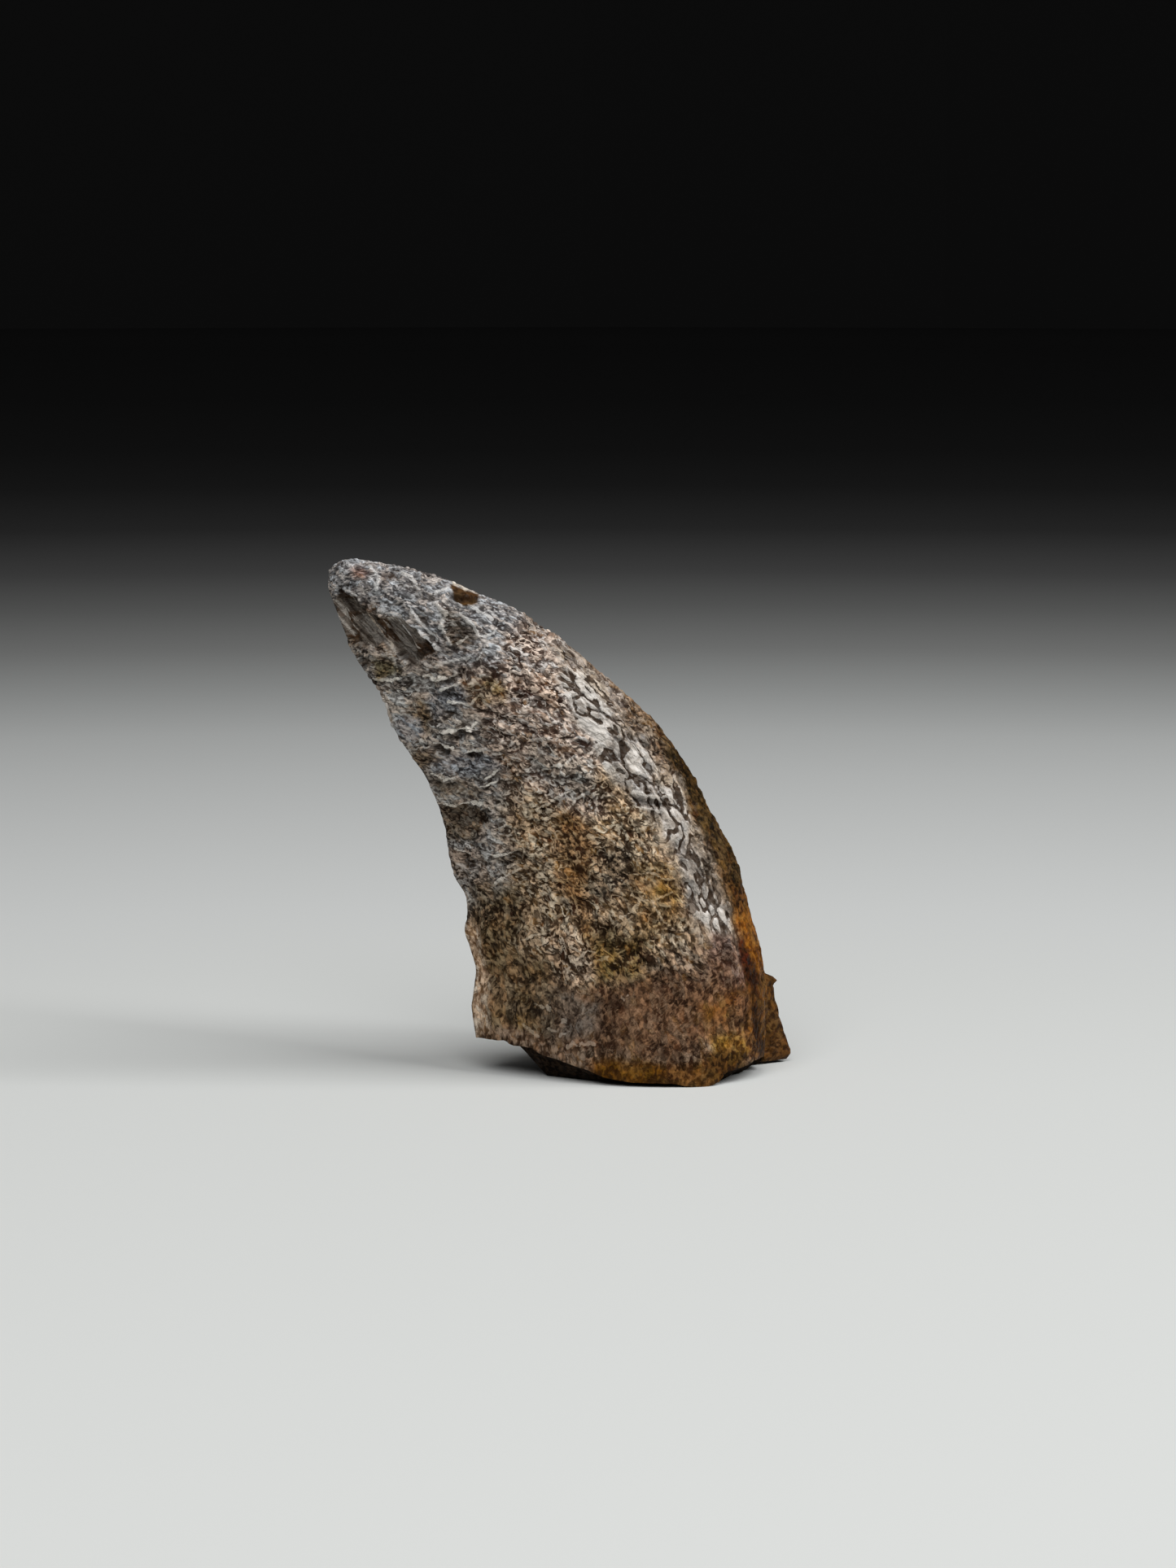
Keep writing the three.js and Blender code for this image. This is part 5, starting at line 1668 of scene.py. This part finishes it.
        rough = loom.pile(loom.ease(masks["speck"], self.roughness),
                          (masks["cavity"], self.cavity_roughness), (masks["flaked"], self.flake_roughness))
        rough = loom.plus(rough, loom.ease(self.attribute(loom, "edge"), self.edge_roughness))
        rough = loom.plus(rough, loom.times(masks["under"], self.under_roughness), clamp=True)
        glossy = loom.most(loom.times(masks["plate"], self.plate_coat),
                           loom.times(masks["crest"], self.crest_coat))
        loom.feed(shader.inputs["Roughness"], rough)
        loom.feed(shader.inputs["Coat Weight"], glossy)
        shader.inputs["Coat Roughness"].default_value = self.coat_roughness
        shader.inputs["Specular IOR Level"].default_value = self.specular

        grain = loom.times(loom.minus(loom.cloud(place, self.grain), 0.5), self.grain_depth)
        grain = loom.plus(grain, loom.times(loom.minus(masks["speck"], 0.5), self.speck_depth))
        grain = loom.plus(grain, loom.times(masks["streak"], masks["flaked"], self.streak_depth))
        bump = loom.add("ShaderNodeBump", {"Distance": MM, "Height": loom.plus(grain, masks["fine"])})
        loom.feed(shader.inputs["Normal"], bump.outputs[0])
        return finish

    def masks(self, loom: Weaver, place: Socket) -> dict[str, Socket]:
        """Adds all that the washes are laid by.

        Args:
            loom: The material's weaver.
            place: Coordinates in millimetres.

        Returns:
            The masks by name: the zones' strengths, the enamel's pattern and the finish's own.
        """
        flow = self.attribute(loom, "flow", "Vector")
        read = {name: self.attribute(loom, name) for name in RELIEFS}
        enamel = self.pattern.weave(loom, flow, place, read)
        patch, speck = loom.cloud(flow, self.patch), loom.cloud(flow, self.speck)
        dark = self.attribute(loom, "dark")
        bent = loom.warp(place, place, self.scratch_bend, self.scratch_reach)
        calm = loom.minus(1.0, loom.times(read["stria"], self.calm_by_striae), clamp=True)
        unplated = loom.minus(1.0, read["plates"], clamp=True)
        shown = loom.minus(self.crest_share, loom.times(dark, self.crest_lost))
        frayed = loom.times(loom.minus(speck, 0.5), self.fold_fray)
        # how strongly the folds' crests are painted pale, as wear and as painted highlight
        worn, creamy = (loom.plus(least, loom.times(read["ripple"], more), clamp=True)
                        for least, more in (self.fold_wear_and_highlight, self.fold_cream))
        return read | vars(enamel) | {
            "patch": patch,
            "speck": speck,
            "dark": dark,
            "bare_crest": loom.times(enamel.crest, shown),
            "chippy": loom.times(read["rough"], unplated, clamp=True),
            "ochre_patches": loom.times(loom.ease(patch, self.ochre_patches), read["ochre"]),
            "grits": loom.split(loom.cells(flow, self.grit_scale).outputs["Color"])[0],
            "calm": calm,
            "unglazed": loom.minus(calm, loom.times(enamel.plate, self.calm_by_glaze), clamp=True),
            "scratch": loom.cloud(loom.turn(bent, self.scratch_lay), self.scratch),
            "streak": loom.cloud(loom.turn(place, self.streak_lay), self.streak),
            "flaked": loom.ease(self.attribute(loom, "flake"), self.flake_edge),
            "fold_crest": loom.ease(loom.plus(self.attribute(loom, "fold"), frayed), self.fold_crest),
            "worn": worn,
            "creamy": creamy,
            "under": loom.ease(self.attribute(loom, "below"), self.under_edge),
        }

    @staticmethod
    def washed(loom: Weaver, base: str | Colour, washes: tuple[Wash, ...], colours: dict[str, Socket],
               masks: dict[str, Socket]) -> Socket:
        """Lays washes over a base colour, the lowest first.

        Args:
            loom: The material's weaver.
            base: The colour under them all.
            washes: The washes.
            colours: The colours by name.
            masks: The masks by name.

        Returns:
            The colour.
        """
        named = [paint(c) if isinstance(c, tuple) else colours[c] for c in (base, *(w.over for w in washes))]
        colour = named[0]
        for wash, over in zip(washes, named[1:]):
            share = loom.ease(masks[wash.mask], wash.step) if wash.step else masks[wash.mask]
            if wash.within:
                share = loom.times(share, masks[wash.within], clamp=True)
            colour = loom.blend(loom.times(share, wash.share), colour, over)
        return colour

    @staticmethod
    def attribute(loom: Weaver, name: str, kind: str = "Fac") -> Socket:
        """Reads an attribute of the mesh as a number, a vector or a colour."""
        return loom.add("ShaderNodeAttribute", attribute_name=name).outputs[kind]


@dataclass
class Tooth:
    """The fossil tooth, all one piece."""

    form: BladeForm = field(default_factory=BladeForm)
    pattern: EnamelPattern = EnamelPattern()
    denticle: DenticleShape = DenticleShape()

    def build(self) -> bpy.types.Object:
        """Builds, dresses and places the tooth.

        Returns:
            The finished piece, riding on the frame.
        """
        finish = FossilFinish(self.pattern).build()
        piece = self.form.build("fossil_tooth")
        relief = ReliefTree(self.pattern, self.denticle)
        relief.build()
        relief.apply(piece, finish)
        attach(piece, "root")
        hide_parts("tooth")
        return piece


@dataclass(frozen=True)
class FloorFinish:
    """The floor's matt finish, a shade of grey for each distance from its pale centre: a painted pool of
    light that darkens with distance, out to the dark wall.
    """

    pale_centre: Triple = (0.0, -60.0, 0.0)
    roughness: float = 0.9
    specular: float = 0.2
    shades: tuple[tuple[float, Colour], ...] = (
        (60.0, (218, 220, 218)), (88.0, (215, 217, 215)), (110.0, (213, 215, 214)),
        (128.0, (209, 211, 210)), (150.0, (203, 205, 204)), (172.0, (196, 198, 197)),
        (197.0, (185, 187, 186)), (226.0, (161, 163, 162)), (260.0, (131, 132, 131)),
        (300.0, (103, 104, 103)), (341.0, (75, 75, 75)), (400.0, (44, 44, 44)), (472.0, (21, 21, 21)),
        (552.0, (7, 7, 7)), (700.0, (5, 5, 5)), (800.0, (12, 12, 12)), (925.0, (20, 20, 20)),
        (990.0, (27, 27, 27)), (1100.0, (27, 27, 27)),
    )

    def build(self) -> bpy.types.Material:
        """Builds the material.

        Returns:
            The finished material.
        """
        finish, loom, shader, place = new_finish("floor")
        reach = self.shades[-1][0]
        away = loom.vector("DISTANCE", place, self.pale_centre)
        ramp = loom.add("ShaderNodeValToRGB", {0: loom.math("DIVIDE", away, reach)})
        elements = ramp.color_ramp.elements
        while len(elements) > 1:
            elements.remove(elements[-1])
        for number, (distance, shade) in enumerate(self.shades):
            element = elements.new(distance / reach) if number else elements[0]
            element.position = distance / reach
            element.color = paint(shade)
        loom.feed(shader.inputs["Base Color"], ramp.outputs[0])
        shader.inputs["Roughness"].default_value = self.roughness
        shader.inputs["Specular IOR Level"].default_value = self.specular
        return finish


@dataclass(frozen=True)
class SoftLight:
    """A soft square light that faces the tooth: degrees to the right and up, millimetres, and watts."""

    name: str
    azimuth: float
    elevation: float
    size: float
    power: float
    distance: float = 600.0
    aim: Triple = (0.0, 0.0, 12.0)

    def build(self) -> None:
        """Hangs the light."""
        data = bpy.data.lights.new(self.name, "AREA")
        data.size, data.energy = self.size * MM, self.power
        turn, rise = math.radians(self.azimuth), math.radians(self.elevation)
        way = Vector((math.sin(turn) * math.cos(rise), -math.cos(turn) * math.cos(rise), math.sin(rise)))
        made = bpy.data.objects.new(self.name, data)
        made.location = Vector(self.aim) * MM + way * self.distance * MM
        made.rotation_euler = way.to_track_quat("Z", "Y").to_euler()
        bpy.context.scene.collection.objects.link(made)


@dataclass
class Studio:
    """The pale floor, the soft lights and the camera."""

    floor_radius: float = 1000.0
    floor_rise: float = 300.0
    floor_sides: int = 64
    floor_finish: FloorFinish = FloorFinish()
    lights: tuple[SoftLight, ...] = (
        SoftLight("key", 72.0, 44.0, 340.0, 2.7),
        SoftLight("front", -10.0, 54.0, 420.0, 2.1),
    )
    surround_strength: float = 0.05
    camera_distance: float = 230.0
    camera_elevation: float = 8.0
    camera_reach: Point = (0.01, 10.0)
    target: Triple = (1.42, 0.0, 14.97)
    pixels_to_mm: float = 24.0
    frame_height: int = 1927

    def floor(self) -> None:
        """Lays the floor, which isn't part of the object, with a wall round its far end."""
        mesh = bpy.data.meshes.new("floor")
        count, radius = self.floor_sides, self.floor_radius * MM
        turns = [2 * math.pi * side / count for side in range(count)]
        flat = [(radius * math.cos(turn), radius * math.sin(turn), 0.0) for turn in turns]
        raised = [(x, y, self.floor_rise * MM) for x, y, _ in flat]
        wall = [(i, i + count, (i + 1) % count + count, (i + 1) % count) for i in range(count)]
        mesh.from_pydata(flat + raised, [], [tuple(range(count))] + wall)
        mesh.materials.append(self.floor_finish.build())
        made = bpy.data.objects.new("floor", mesh)
        bpy.context.scene.collection.objects.link(made)

    def surround(self) -> None:
        """Sets the faint white light from all round."""
        world = bpy.data.worlds.new("surround")
        world.use_nodes = True
        background = world.node_tree.nodes["Background"]
        background.inputs["Color"].default_value = (1.0, 1.0, 1.0, 1.0)
        background.inputs["Strength"].default_value = self.surround_strength
        bpy.context.scene.world = world

    def camera(self) -> None:
        """Sets the camera a little above the tooth, straight in front of its outer face."""
        data = bpy.data.cameras.new("camera")
        data.lens = self.pixels_to_mm * self.camera_distance / self.frame_height * data.sensor_width
        data.clip_start, data.clip_end = self.camera_reach
        made = bpy.data.objects.new("camera", data)
        tilt = math.radians(self.camera_elevation)
        back = Vector((0.0, -math.cos(tilt), math.sin(tilt)))
        made.location = (Vector(self.target) + back * self.camera_distance) * MM
        made.rotation_euler = back.to_track_quat("Z", "Y").to_euler()
        bpy.context.scene.collection.objects.link(made)
        bpy.context.scene.camera = made

    def build(self) -> None:
        """Sets up everything round the tooth."""
        self.floor()
        for light in self.lights:
            light.build()
        self.surround()
        self.camera()
        bpy.context.scene.view_settings.view_transform = "Standard"


def main() -> None:
    """Builds the tooth and its studio."""
    logging.basicConfig(level=logging.INFO, format="%(name)s: %(message)s")
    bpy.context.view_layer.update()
    piece = Tooth().build()
    LOG.info("%s: %d faces", piece.name, len(piece.data.polygons))
    Studio().build()
    LOG.info("studio built")


if __name__ == "__main__":
    main()
